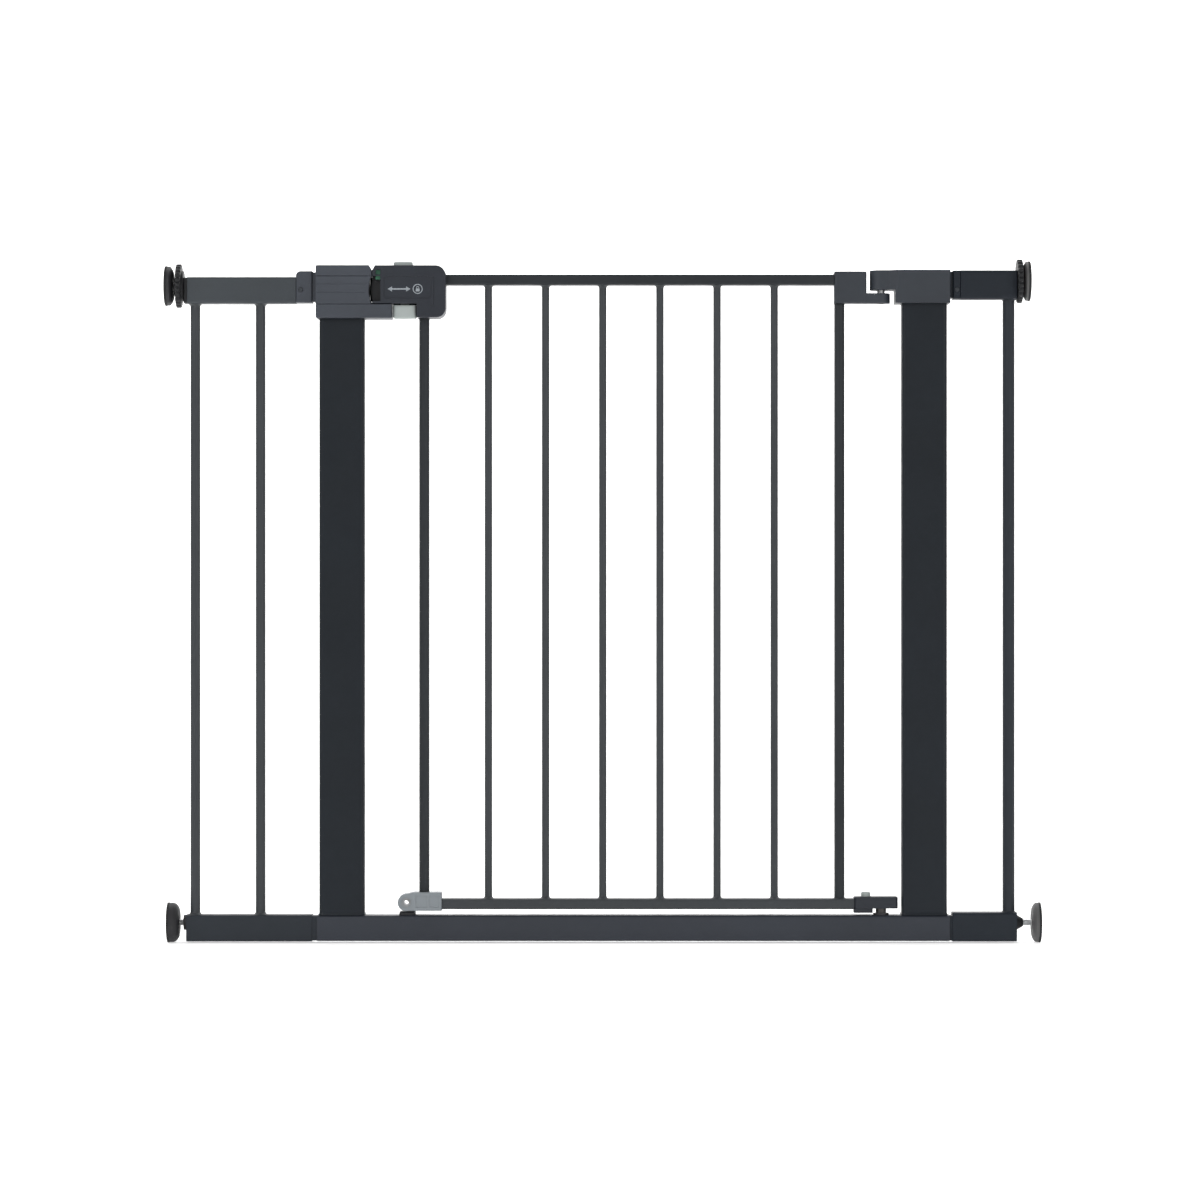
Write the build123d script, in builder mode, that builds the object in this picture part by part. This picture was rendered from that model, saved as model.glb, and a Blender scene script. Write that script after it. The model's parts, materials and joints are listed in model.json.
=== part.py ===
"""Pressure-mounted safety gate with a swinging door, a one-hand latch and two extension panels.

Millimetres. +Z is up, +X is the hinge side, and the front of the gate faces -Y.
The origin is on the floor, in the middle of the gate's width and depth.
"""
from build123d import *
import math
import os

os.makedirs("parts", exist_ok=True)

# ---------------------------------------------------------------- driving dimensions
half_opening = 459.5          # wall to wall, half
floor_gap = 2.0               # under the threshold rail
fit = 0.3                     # clearance between fixed pieces that slip into each other
running = 0.05                # radial clearance of a pin or bush
steel_wall = 1.2              # wall of every steel tube

# threshold rail and posts
threshold_left = -299.5
threshold_right = 363.5
threshold_top = 29.0
threshold_depth = 24.0
post_width = 47.5
post_depth = 22.0
post_radius = 4.0
left_post_x = -273.4
right_post_x = 337.1
left_post_top = 705.0
right_post_top = 701.0
weld_height = 3.0
weld_growth = 1.0

# hinge axis, shared by the upper and the lower hinge
hinge_x = 292.0
hinge_pin_radius = 4.0
bush_radius = 6.0
lift = 3.0                    # how far the door lifts to clear the stop

# door
latch_stile_x = -187.3
hinge_stile_x = 248.4
stile_radius = 5.5
bar_radius = 4.0
bar_pitch = 60.0
bar_count = 6
first_bar_x = -120.0
bar_wall = 1.0
flare = 3.0                   # weld flare at each end of a bar
narrow_flare = 1.5            # weld flare where the rail leaves little room
door_rail_height = 11.0
door_rail_depth = 18.0
top_rail_bottom = 689.6
bottom_rail_bottom = 35.2
bottom_rail_top = bottom_rail_bottom + door_rail_height
top_rail_top = top_rail_bottom + door_rail_height

# latch receiver on the left post
shell_depth = 18.0            # half depth of the latch housings
shell_wall = 2.6
receiver_left = -300.5
receiver_right = -242.0
receiver_bottom = 654.5
receiver_top = 709.8
receiver_arm_right = -221.0
receiver_arm_top = 669.0
band_top = 698.4
notch_width = 2.9             # V between the receiver and the handle, width and depth of each half
notch_depth = 5.0
band_hollow = 2.8             # depth of the concave end of the middle band
groove = 0.8
parting_chamfer = 0.3         # fine line where two shells meet

# handle on the door
handle_left = -241.3
handle_right = -164.3
handle_top = 709.7
grip_bottom = 655.0
grip_left = -194.9
nose_bottom = 669.6
plate_left = -232.6

# upper hinge bracket on the right post
bracket_right = 363.9
bracket_bottom = 670.4
bracket_top = 704.9
bracket_notch = 684.4
bracket_notch_right = 306.3
bracket_depth = 17.0
barrel_radius = 11.8

# pressure mounts
spindle_radius = 3.5
cup_radius = 21.0
pad_thickness = 2.5
wheel_radius = 23.0
lower_axis_z = 21.0
upper_left_axis_z = 689.0
upper_right_axis_z = 694.0


# ---------------------------------------------------------------- shared shapes
def round_bar(centre_x, bottom, top, radius, wall, flare_size, flared_top=True):
    """Round tube along Z at centre_x with a concave weld flare at its foot and, usually, its head."""
    diagonal = flare_size * (1 - math.cos(math.pi / 4))
    foot = centre_x + radius + flare_size
    side = centre_x + radius
    with BuildPart() as bar:
        with BuildSketch(Plane.XZ):
            with BuildLine():
                Line((centre_x, bottom), (foot, bottom))
                ThreePointArc(
                    (foot, bottom), (side + diagonal, bottom + diagonal), (side, bottom + flare_size)
                )
                if flared_top:
                    Line((side, bottom + flare_size), (side, top - flare_size))
                    ThreePointArc(
                        (side, top - flare_size), (side + diagonal, top - diagonal), (foot, top)
                    )
                    Polyline((foot, top), (centre_x, top), (centre_x, bottom))
                else:
                    Polyline(
                        (side, bottom + flare_size), (side, top), (centre_x, top), (centre_x, bottom)
                    )
            make_face()
        revolve(axis=Axis((centre_x, 0, 0), (0, 0, 1)))
        with BuildSketch(Plane.XY.offset(bottom)):
            with Locations((centre_x, 0)):
                Circle(radius - wall)
        extrude(amount=top - bottom, mode=Mode.SUBTRACT)
    return bar.part


def box_rail(left, right, bottom, top, depth, radius=3.0):
    """Rectangular steel tube along X."""
    height = top - bottom
    inner_depth = depth - 2 * steel_wall
    inner_height = height - 2 * steel_wall
    with BuildPart() as rail:
        with BuildSketch(Plane.YZ.offset(left)):
            with Locations((0, (bottom + top) / 2)):
                RectangleRounded(depth, height, radius)
                RectangleRounded(inner_depth, inner_height, radius - steel_wall, mode=Mode.SUBTRACT)
        extrude(amount=right - left)
    return rail.part


def rail_insert(left, right, bottom, top, depth):
    """Plastic block that slips into a rectangular tube of the given outer size."""
    clearance = 2 * (steel_wall + fit)
    with BuildPart() as insert:
        with BuildSketch(Plane.YZ.offset(left)):
            with Locations((0, (bottom + top) / 2)):
                RectangleRounded(depth - clearance, top - bottom - clearance, 1.2)
        extrude(amount=right - left)
    return insert.part


def post(centre_x, top):
    """Flat rectangular post with a weld bead around its foot."""
    bore_width = post_width - 2 * steel_wall
    bore_depth = post_depth - 2 * steel_wall
    with BuildPart() as tube:
        with BuildSketch(Plane.XY.offset(threshold_top)):
            with Locations((centre_x, 0)):
                RectangleRounded(post_width, post_depth, post_radius)
        extrude(amount=top - threshold_top)
        with BuildSketch(Plane.XY.offset(threshold_top)):
            with Locations((centre_x, 0)):
                RectangleRounded(
                    post_width + 2 * weld_growth, post_depth + 2 * weld_growth, post_radius + weld_growth
                )
        with BuildSketch(Plane.XY.offset(threshold_top + weld_height)):
            with Locations((centre_x, 0)):
                RectangleRounded(post_width, post_depth, post_radius)
        loft()
        with BuildSketch(Plane.XY.offset(threshold_top)):
            with Locations((centre_x, 0)):
                RectangleRounded(bore_width, bore_depth, post_radius - steel_wall)
        extrude(amount=top - threshold_top, mode=Mode.SUBTRACT)
    return tube.part


# ---------------------------------------------------------------- threshold rail and posts
with BuildPart() as threshold_rail:
    add(box_rail(threshold_left, threshold_right, floor_gap, threshold_top, threshold_depth))
threshold_rail.part.label = "threshold_rail"
export_step(threshold_rail.part, "parts/threshold_rail.step")

housing_screw_radius = 1.5
receiver_screw_z = (663.0, 701.5)
bracket_screw_z = (677.5, 697.5)
shank_radius = 4.5            # plastic shank that ties an upper extension rail to its post
left_shank_z = 686.0
right_shank_z = 689.0

with BuildPart() as left_post:
    add(post(left_post_x, left_post_top))
    for screw_z in receiver_screw_z:
        with BuildSketch(Plane.XZ.offset(-post_depth)):
            with Locations((left_post_x, screw_z)):
                Circle(housing_screw_radius + fit)
        extrude(amount=2 * post_depth, mode=Mode.SUBTRACT)
    with BuildSketch(Plane.YZ.offset(left_post_x - post_width)):
        with Locations((0, left_shank_z)):
            Circle(shank_radius + fit)
    extrude(amount=post_width, mode=Mode.SUBTRACT)
left_post.part.label = "left_post"
export_step(left_post.part, "parts/left_post.step")

with BuildPart() as right_post:
    add(post(right_post_x, right_post_top))
    for screw_z in bracket_screw_z:
        with BuildSketch(Plane.XZ.offset(-post_depth)):
            with Locations((right_post_x, screw_z)):
                Circle(housing_screw_radius + fit)
        extrude(amount=2 * post_depth, mode=Mode.SUBTRACT)
    with BuildSketch(Plane.YZ.offset(right_post_x)):
        with Locations((0, right_shank_z)):
            Circle(shank_radius + fit)
    extrude(amount=post_width, mode=Mode.SUBTRACT)
right_post.part.label = "right_post"
export_step(right_post.part, "parts/right_post.step")


# ---------------------------------------------------------------- latch receiver
cavity_left = left_post_x - post_width / 2 - fit
cavity_right = left_post_x + post_width / 2 + fit
floor_thickness = 3.0
inner_depth = shell_depth - shell_wall
mouth_depth = 14.0            # half depth of the pocket that the bolt enters
mouth_right = receiver_right + 5.0
band_middle = (receiver_arm_top + band_top) / 2
boss_radius = 4.0
screw_head_radius = 3.2
screw_head_depth = 2.2


def receiver_shell():
    """Front half of the latch receiver: a cap around the post with an arm under the door's nose."""
    with BuildPart() as shell:
        with BuildSketch(Plane.XZ):
            with BuildLine():
                Polyline(
                    (receiver_right, receiver_arm_top),
                    (receiver_arm_right, receiver_arm_top),
                    (receiver_arm_right, receiver_bottom),
                    (receiver_left, receiver_bottom),
                    (receiver_left, receiver_top),
                    (receiver_right, receiver_top),
                    (receiver_right, band_top),
                )
                ThreePointArc(
                    (receiver_right, band_top),
                    (receiver_right - band_hollow, band_middle),
                    (receiver_right, receiver_arm_top),
                )
            make_face()
        extrude(amount=shell_depth)
        notch_edge = shell.edges().filter_by(Axis.Y).group_by(Axis.Z)[-1].sort_by(Axis.X)[-1]
        notch_top = shell.faces().sort_by(Axis.Z)[-1]
        chamfer(notch_edge, notch_width, notch_depth, reference=notch_top)
        fillet(shell.edges().filter_by(Axis.Y).group_by(Axis.Z)[0].sort_by(Axis.X)[0], 1.5)
        fillet(shell.edges().filter_by(Axis.Y).group_by(Axis.Z)[-1].sort_by(Axis.X)[0], 1.5)
        chamfer(shell.faces().sort_by(Axis.Y)[-1].edges(), parting_chamfer)
        fillet(shell.faces().sort_by(Axis.Y)[0].edges(), 1.0)
        for groove_z, groove_depth in (
            (receiver_arm_top, groove),
            (band_middle - 2.5, groove / 3),
            (band_middle + 6.5, groove / 3),
            (band_top, groove),
        ):
            with BuildSketch(Plane.XZ.offset(shell_depth)):
                with Locations(((receiver_left + receiver_right) / 2, groove_z)):
                    Rectangle(receiver_right - receiver_left + 2, groove)
            extrude(amount=-groove_depth, mode=Mode.SUBTRACT)
        with BuildSketch(Plane.XZ):
            with Locations(((cavity_left + cavity_right) / 2, receiver_bottom + floor_thickness)):
                Rectangle(
                    cavity_right - cavity_left,
                    receiver_top - shell_wall - receiver_bottom - floor_thickness,
                    align=(Align.CENTER, Align.MIN),
                )
        extrude(amount=inner_depth, mode=Mode.SUBTRACT)
        with BuildSketch(Plane.XZ):
            with Locations(((cavity_left + cavity_right) / 2, receiver_bottom)):
                Rectangle(
                    cavity_right - cavity_left, floor_thickness + 1, align=(Align.CENTER, Align.MIN)
                )
        extrude(amount=post_depth / 2 + fit, mode=Mode.SUBTRACT)
        with BuildSketch(Plane.XZ):
            with Locations((cavity_right - 1, receiver_arm_top)):
                Rectangle(
                    mouth_right - cavity_right + 1,
                    band_top - receiver_arm_top,
                    align=(Align.MIN, Align.MIN),
                )
        extrude(amount=mouth_depth, mode=Mode.SUBTRACT)
        with BuildSketch(Plane.YZ.offset(receiver_left - 1)):
            with Locations((0, left_shank_z)):
                Circle(shank_radius + fit)
        extrude(amount=shell_wall * 2, mode=Mode.SUBTRACT)
    return shell.part


boss_length = inner_depth - post_depth / 2 - fit
boss_top = post_depth / 2 + fit

with BuildPart() as latch_receiver_front:
    add(receiver_shell())
    for screw_z in receiver_screw_z:
        with BuildSketch(Plane.XZ.offset(boss_top)):
            with Locations((left_post_x, screw_z)):
                Circle(boss_radius)
        extrude(amount=boss_length + 0.5)
        with BuildSketch(Plane.XZ.offset(boss_top)):
            with Locations((left_post_x, screw_z)):
                Circle(housing_screw_radius + running)
        extrude(amount=boss_length, mode=Mode.SUBTRACT)
latch_receiver_front.part.label = "latch_receiver_front"
export_step(latch_receiver_front.part, "parts/latch_receiver_front.step")

with BuildPart() as latch_receiver_rear:
    mirror(receiver_shell(), about=Plane.XZ)
    for screw_z in receiver_screw_z:
        with BuildSketch(Plane.XZ.offset(-shell_depth)):
            with Locations((left_post_x, screw_z)):
                Circle(housing_screw_radius + fit)
        extrude(amount=shell_depth, mode=Mode.SUBTRACT)
        with BuildSketch(Plane.XZ.offset(-shell_depth)):
            with Locations((left_post_x, screw_z)):
                Circle(screw_head_radius + fit)
        extrude(amount=screw_head_depth - groove, mode=Mode.SUBTRACT)
latch_receiver_rear.part.label = "latch_receiver_rear"
export_step(latch_receiver_rear.part, "parts/latch_receiver_rear.step")

# the keeper lines the mouth: its face stops the bolt's tip and its sill carries the bolt's nose
keeper_face = receiver_right - 2.6
keeper_sill = 2.0
with BuildPart() as latch_keeper:
    with BuildSketch(Plane.XZ.offset(-mouth_depth + fit)):
        with BuildLine():
            Polyline(
                (cavity_right + fit, receiver_arm_top + fit),
                (receiver_right, receiver_arm_top + fit),
                (receiver_right, receiver_arm_top + fit + keeper_sill),
                (keeper_face, receiver_arm_top + fit + keeper_sill),
                (keeper_face, band_top - fit),
                (cavity_right + fit, band_top - fit),
                close=True,
            )
        make_face()
    extrude(amount=2 * (mouth_depth - fit))
latch_keeper.part.label = "latch_keeper"
export_step(latch_keeper.part, "parts/latch_keeper.step")


# ---------------------------------------------------------------- upper hinge bracket
bracket_inner_depth = bracket_depth - shell_wall
bracket_cavity_left = right_post_x - post_width / 2 - fit
bracket_cavity_right = right_post_x + post_width / 2 + fit
neck_start = hinge_x + 8.0
neck_end = hinge_x + 17.0


def bracket_shell():
    """Front half of the hinge bracket: a cap around the post with a barrel for the hinge pin."""
    with BuildPart() as shell:
        with BuildSketch(Plane.XY.offset(bracket_bottom)):
            with BuildLine():
                ThreePointArc(
                    (hinge_x - barrel_radius, 0),
                    (
                        hinge_x - barrel_radius * math.cos(math.pi / 4),
                        -barrel_radius * math.sin(math.pi / 4),
                    ),
                    (hinge_x, -barrel_radius),
                )
                Polyline(
                    (hinge_x, -barrel_radius),
                    (neck_start, -barrel_radius),
                    (neck_end, -bracket_depth),
                    (bracket_right, -bracket_depth),
                    (bracket_right, 0),
                    (hinge_x - barrel_radius, 0),
                )
            make_face()
        extrude(amount=bracket_top - bracket_bottom)
        with BuildSketch(Plane.XZ):
            with Locations((bracket_notch_right, bracket_bottom)):
                Rectangle(
                    bracket_notch_right, bracket_notch - bracket_bottom, align=(Align.MAX, Align.MIN)
                )
        extrude(amount=bracket_depth, mode=Mode.SUBTRACT)
        outer_corner = shell.edges().filter_by(Axis.Z).sort_by(Axis.Y)[:2].sort_by(Axis.X)[-1]
        fillet(outer_corner, 2.0)
        with BuildSketch(Plane.XY.offset(bracket_bottom + floor_thickness)):
            with Locations(((bracket_cavity_left + bracket_cavity_right) / 2, 0)):
                Rectangle(bracket_cavity_right - bracket_cavity_left, 2 * bracket_inner_depth)
        extrude(amount=bracket_top - shell_wall - bracket_bottom - floor_thickness, mode=Mode.SUBTRACT)
        with BuildSketch(Plane.XY.offset(bracket_bottom)):
            with Locations(((bracket_cavity_left + bracket_cavity_right) / 2, 0)):
                Rectangle(bracket_cavity_right - bracket_cavity_left, post_depth + 2 * fit)
        extrude(amount=floor_thickness + 1, mode=Mode.SUBTRACT)
        with BuildSketch(Plane.XY.offset(bracket_bottom)):
            with Locations((hinge_x, 0)):
                Circle(hinge_pin_radius + 0.02)
        extrude(amount=bracket_top - shell_wall - bracket_bottom, mode=Mode.SUBTRACT)
        with BuildSketch(Plane.YZ.offset(bracket_right - shell_wall * 2)):
            with Locations((0, right_shank_z)):
                Circle(shank_radius + fit)
        extrude(amount=shell_wall * 3, mode=Mode.SUBTRACT)
    return shell.part


bracket_boss_length = bracket_inner_depth - post_depth / 2 - fit

with BuildPart() as hinge_bracket_front:
    add(bracket_shell())
    for screw_z in bracket_screw_z:
        with BuildSketch(Plane.XZ.offset(boss_top)):
            with Locations((right_post_x, screw_z)):
                Circle(boss_radius)
        extrude(amount=bracket_boss_length + 0.5)
        with BuildSketch(Plane.XZ.offset(boss_top)):
            with Locations((right_post_x, screw_z)):
                Circle(housing_screw_radius + running)
        extrude(amount=bracket_boss_length, mode=Mode.SUBTRACT)
hinge_bracket_front.part.label = "hinge_bracket_front"
export_step(hinge_bracket_front.part, "parts/hinge_bracket_front.step")

with BuildPart() as hinge_bracket_rear:
    mirror(bracket_shell(), about=Plane.XZ)
    for screw_z in bracket_screw_z:
        with BuildSketch(Plane.XZ.offset(-bracket_depth)):
            with Locations((right_post_x, screw_z)):
                Circle(housing_screw_radius + fit)
        extrude(amount=bracket_depth, mode=Mode.SUBTRACT)
        with BuildSketch(Plane.XZ.offset(-bracket_depth)):
            with Locations((right_post_x, screw_z)):
                Circle(screw_head_radius + fit)
        extrude(amount=screw_head_depth - groove, mode=Mode.SUBTRACT)
hinge_bracket_rear.part.label = "hinge_bracket_rear"
export_step(hinge_bracket_rear.part, "parts/hinge_bracket_rear.step")

# four long screws enter from the rear, cross the posts and end in the front shells
with BuildPart() as housing_screws:
    for screw_x, heights, depth in (
        (left_post_x, receiver_screw_z, shell_depth),
        (right_post_x, bracket_screw_z, bracket_depth),
    ):
        seat = depth - (screw_head_depth - groove)
        for screw_z in heights:
            with BuildSketch(Plane.XZ.offset(-seat)):
                with Locations((screw_x, screw_z)):
                    Circle(housing_screw_radius)
            extrude(amount=seat + depth - shell_wall - 1.0)
            with BuildSketch(Plane.XZ.offset(-seat)):
                with Locations((screw_x, screw_z)):
                    Circle(screw_head_radius)
            extrude(amount=-screw_head_depth)
            with BuildSketch(Plane.XZ.offset(-seat - screw_head_depth)):
                with Locations((screw_x, screw_z)):
                    Rectangle(3.6, 0.8)
                    Rectangle(0.8, 3.6)
            extrude(amount=1.2, mode=Mode.SUBTRACT)
housing_screws.part.label = "housing_screws"
export_step(housing_screws.part, "parts/housing_screws.step")


# ---------------------------------------------------------------- hinge pins, bushes and lower stop
pin_bottom_upper = 671.5
pin_top_upper = bracket_top - shell_wall - 0.3
arm_bottom = 670.5
arm_top = 681.0

with BuildPart() as upper_hinge_pin:
    with BuildSketch(Plane.XY.offset(pin_bottom_upper)):
        with Locations((hinge_x, 0)):
            Circle(hinge_pin_radius)
    extrude(amount=pin_top_upper - pin_bottom_upper)
    chamfer(upper_hinge_pin.edges().filter_by(GeomType.CIRCLE).sort_by(Axis.Z)[0], 0.8)
upper_hinge_pin.part.label = "upper_hinge_pin"
export_step(upper_hinge_pin.part, "parts/upper_hinge_pin.step")

block_bottom = 36.0
block_top = 48.2
lower_pin_top = 44.0
pin_base_top = 31.0
pin_base_radius = 8.3
shoulder_radius = 5.5

with BuildPart() as lower_hinge_pin:
    for bottom, top, radius in (
        (threshold_top, pin_base_top, pin_base_radius),
        (pin_base_top, block_bottom, shoulder_radius),
        (block_bottom, lower_pin_top, hinge_pin_radius),
    ):
        with BuildSketch(Plane.XY.offset(bottom)):
            with Locations((hinge_x, 0)):
                Circle(radius)
        extrude(amount=top - bottom)
    chamfer(lower_hinge_pin.edges().filter_by(GeomType.CIRCLE).sort_by(Axis.Z)[-1], 0.8)
lower_hinge_pin.part.label = "lower_hinge_pin"
export_step(lower_hinge_pin.part, "parts/lower_hinge_pin.step")

lower_bush_top = block_top - 2.6
for label, bottom, top in (
    ("upper_hinge_bush", arm_bottom, arm_top),
    ("lower_hinge_bush", block_bottom + 0.1, lower_bush_top),
):
    with BuildPart() as hinge_bush:
        with BuildSketch(Plane.XY.offset(bottom)):
            with Locations((hinge_x, 0)):
                Circle(bush_radius)
                Circle(hinge_pin_radius + running, mode=Mode.SUBTRACT)
        extrude(amount=top - bottom)
    hinge_bush.part.label = label
    export_step(hinge_bush.part, f"parts/{label}.step")

stop_left = -213.3
stop_right = -196.4
stop_top = 32.6
with BuildPart() as lower_latch_stop:
    with BuildSketch(Plane.XY.offset(threshold_top)):
        with Locations(((stop_left + stop_right) / 2, 0)):
            RectangleRounded(stop_right - stop_left, 20.0, 2.0)
    extrude(amount=stop_top - threshold_top)
    chamfer(lower_latch_stop.faces().sort_by(Axis.Z)[-1].edges(), 0.8)
lower_latch_stop.part.label = "lower_latch_stop"
export_step(lower_latch_stop.part, "parts/lower_latch_stop.step")


# ---------------------------------------------------------------- extension panels
extension_depth = 22.0
left_top_rail = (-435.5, -321.6, 670.0, 698.0)
left_bottom_rail = (-436.5, -304.8, 1.5, 29.5)
right_top_rail = (375.0, 434.0, 674.5, 705.0)
right_bottom_rail = (366.5, 434.0, 1.5, 32.0)
left_bar_x = (-427.7, -359.2)
left_bar_radius = 5.2
right_bar_x = 426.0
right_bar_radius = 6.4

for label, rail in (
    ("left_extension_top_rail", left_top_rail),
    ("left_extension_bottom_rail", left_bottom_rail),
    ("right_extension_top_rail", right_top_rail),
    ("right_extension_bottom_rail", right_bottom_rail),
):
    with BuildPart() as extension_rail:
        add(box_rail(rail[0], rail[1], rail[2], rail[3], extension_depth))
    extension_rail.part.label = label
    export_step(extension_rail.part, f"parts/{label}.step")

with BuildPart() as left_extension_bars:
    for bar_x in left_bar_x:
        add(round_bar(bar_x, left_bottom_rail[3], left_top_rail[2], left_bar_radius, bar_wall, flare))
left_extension_bars.part.label = "left_extension_bars"
export_step(left_extension_bars.part, "parts/left_extension_bars.step")

with BuildPart() as right_extension_bar:
    add(
        round_bar(
            right_bar_x, right_bottom_rail[3], right_top_rail[2], right_bar_radius, bar_wall, narrow_flare
        )
    )
right_extension_bar.part.label = "right_extension_bar"
export_step(right_extension_bar.part, "parts/right_extension_bar.step")

# upper connectors: a collar with a waist against the housing, a shank into the post, a spigot in the rail
shank_length = 12.0
spigot_length = 13.0
collar_shrink = 0.6
waist_recess = 2.5
connector_screw_radius = 1.2
connector_screw_head = 2.6
connector_screw_depth = 6.0
connector_screw_z = 684.5
collar_chamfer = 0.8
left_collar = (left_top_rail[1], -304.5, 671.0, 704.0)
right_collar = (367.0, right_top_rail[0], 674.8, 704.7)
left_screw_x = -316.5
right_screw_x = 371.2


def upper_connector(collar, housing_x, rail_x, rail, shank_z, screw_x):
    """Connector between a housing at housing_x and the extension rail that starts at rail_x."""
    left, right, bottom, top = collar
    away = 1 if rail_x > housing_x else -1
    waist_x = min((left, right), key=lambda x: abs(x - housing_x))
    with BuildPart() as connector:
        with BuildSketch(Plane.XZ.offset(-(extension_depth - collar_shrink) / 2)):
            with Locations(((left + right) / 2, (bottom + top) / 2)):
                Rectangle(right - left, top - bottom)
        extrude(amount=extension_depth - collar_shrink)
        if away < 0:
            corner = connector.edges().filter_by(Axis.Y).group_by(Axis.X)[0].sort_by(Axis.Z)[-1]
            fillet(corner, 5.0)
        chamfer(connector.faces().sort_by(Axis.Y)[0].edges(), collar_chamfer)
        chamfer(connector.faces().sort_by(Axis.Y)[-1].edges(), collar_chamfer)
        with BuildSketch(Plane.YZ.offset(waist_x)):
            with Locations((0, (bottom + top) / 2)):
                Rectangle(extension_depth - 2 * waist_recess, top - bottom - waist_recess)
        extrude(amount=housing_x - waist_x)
        with BuildSketch(Plane.YZ.offset(housing_x)):
            with Locations((0, shank_z)):
                Circle(shank_radius)
        extrude(amount=-away * shank_length)
        spigot_start = min(rail_x, rail_x + away * spigot_length)
        add(rail_insert(spigot_start, spigot_start + spigot_length, rail[2], rail[3], extension_depth))
        with BuildSketch(Plane.XZ.offset(extension_depth / 2)):
            with Locations((screw_x, connector_screw_z)):
                Circle(connector_screw_radius + running)
        extrude(amount=-connector_screw_depth, mode=Mode.SUBTRACT)
    return connector.part


for label, collar, housing_x, rail_x, rail, shank_z, screw_x in (
    (
        "left_connector_upper",
        left_collar,
        receiver_left - 0.2,
        left_top_rail[1],
        left_top_rail,
        left_shank_z,
        left_screw_x,
    ),
    (
        "right_connector_upper",
        right_collar,
        bracket_right + 0.2,
        right_top_rail[0],
        right_top_rail,
        right_shank_z,
        right_screw_x,
    ),
):
    with BuildPart() as connector_upper:
        add(upper_connector(collar, housing_x, rail_x, rail, shank_z, screw_x))
    connector_upper.part.label = label
    export_step(connector_upper.part, f"parts/{label}.step")

# lower connectors: a narrow waist between two spigots
waist_shrink = 1.0
waist_depth = extension_depth - waist_shrink
waist_height = threshold_top - floor_gap - waist_shrink
for label, left_rail, right_rail in (
    (
        "left_connector_lower",
        (left_bottom_rail[1], left_bottom_rail[2], left_bottom_rail[3], extension_depth),
        (threshold_left, floor_gap, threshold_top, threshold_depth),
    ),
    (
        "right_connector_lower",
        (threshold_right, floor_gap, threshold_top, threshold_depth),
        (right_bottom_rail[0], right_bottom_rail[2], right_bottom_rail[3], extension_depth),
    ),
):
    with BuildPart() as lower_connector:
        add(rail_insert(left_rail[0] - 25.0, left_rail[0], *left_rail[1:]))
        add(rail_insert(right_rail[0], right_rail[0] + 25.0, *right_rail[1:]))
        with BuildSketch(Plane.YZ.offset(left_rail[0])):
            with Locations((0, (floor_gap + threshold_top) / 2)):
                RectangleRounded(waist_depth, waist_height, 1.5)
        extrude(amount=right_rail[0] - left_rail[0])
    lower_connector.part.label = label
    export_step(lower_connector.part, f"parts/{label}.step")

with BuildPart() as connector_screws:
    seat = extension_depth / 2 - collar_shrink / 2
    for screw_x in (left_screw_x, right_screw_x):
        with BuildSketch(Plane.XZ.offset(seat)):
            with Locations((screw_x, connector_screw_z)):
                Circle(connector_screw_radius)
        extrude(amount=-(connector_screw_depth - 1.0))
        with BuildSketch(Plane.XZ.offset(seat)):
            with Locations((screw_x, connector_screw_z)):
                Circle(connector_screw_head)
        extrude(amount=0.9, taper=25)
connector_screws.part.label = "connector_screws"
export_step(connector_screws.part, "parts/connector_screws.step")


# ---------------------------------------------------------------- door frame
spigot_clearance = 2 * (steel_wall + fit)
arm_block_left = 242.6
arm_block_right = 276.6
hinge_block_left = 263.2
hinge_block_right = 309.4
rail_start_top = latch_stile_x - stile_radius
rail_start_bottom = latch_stile_x + stile_radius + 0.4
stile_bottom = 36.0

with BuildPart() as door_top_rail:
    add(box_rail(rail_start_top, arm_block_left, top_rail_bottom, top_rail_top, door_rail_depth, 2.0))
door_top_rail.part.label = "door_top_rail"
export_step(door_top_rail.part, "parts/door_top_rail.step")

with BuildPart() as door_bottom_rail:
    add(
        box_rail(
            rail_start_bottom, hinge_block_left, bottom_rail_bottom, bottom_rail_top, door_rail_depth, 2.0
        )
    )
door_bottom_rail.part.label = "door_bottom_rail"
export_step(door_bottom_rail.part, "parts/door_bottom_rail.step")

with BuildPart() as door_bars:
    for index in range(bar_count):
        bar_x = first_bar_x + index * bar_pitch
        add(round_bar(bar_x, bottom_rail_top, top_rail_bottom, bar_radius, bar_wall, flare))
door_bars.part.label = "door_bars"
export_step(door_bars.part, "parts/door_bars.step")

with BuildPart() as door_latch_stile:
    with BuildSketch(Plane.XY.offset(stile_bottom)):
        with Locations((latch_stile_x, 0)):
            Circle(stile_radius)
            Circle(stile_radius - steel_wall, mode=Mode.SUBTRACT)
    extrude(amount=top_rail_bottom - stile_bottom)
door_latch_stile.part.label = "door_latch_stile"
export_step(door_latch_stile.part, "parts/door_latch_stile.step")

with BuildPart() as door_hinge_stile:
    add(
        round_bar(
            hinge_stile_x,
            bottom_rail_top,
            arm_bottom,
            stile_radius,
            steel_wall,
            narrow_flare,
            flared_top=False,
        )
    )
door_hinge_stile.part.label = "door_hinge_stile"
export_step(door_hinge_stile.part, "parts/door_hinge_stile.step")


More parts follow.
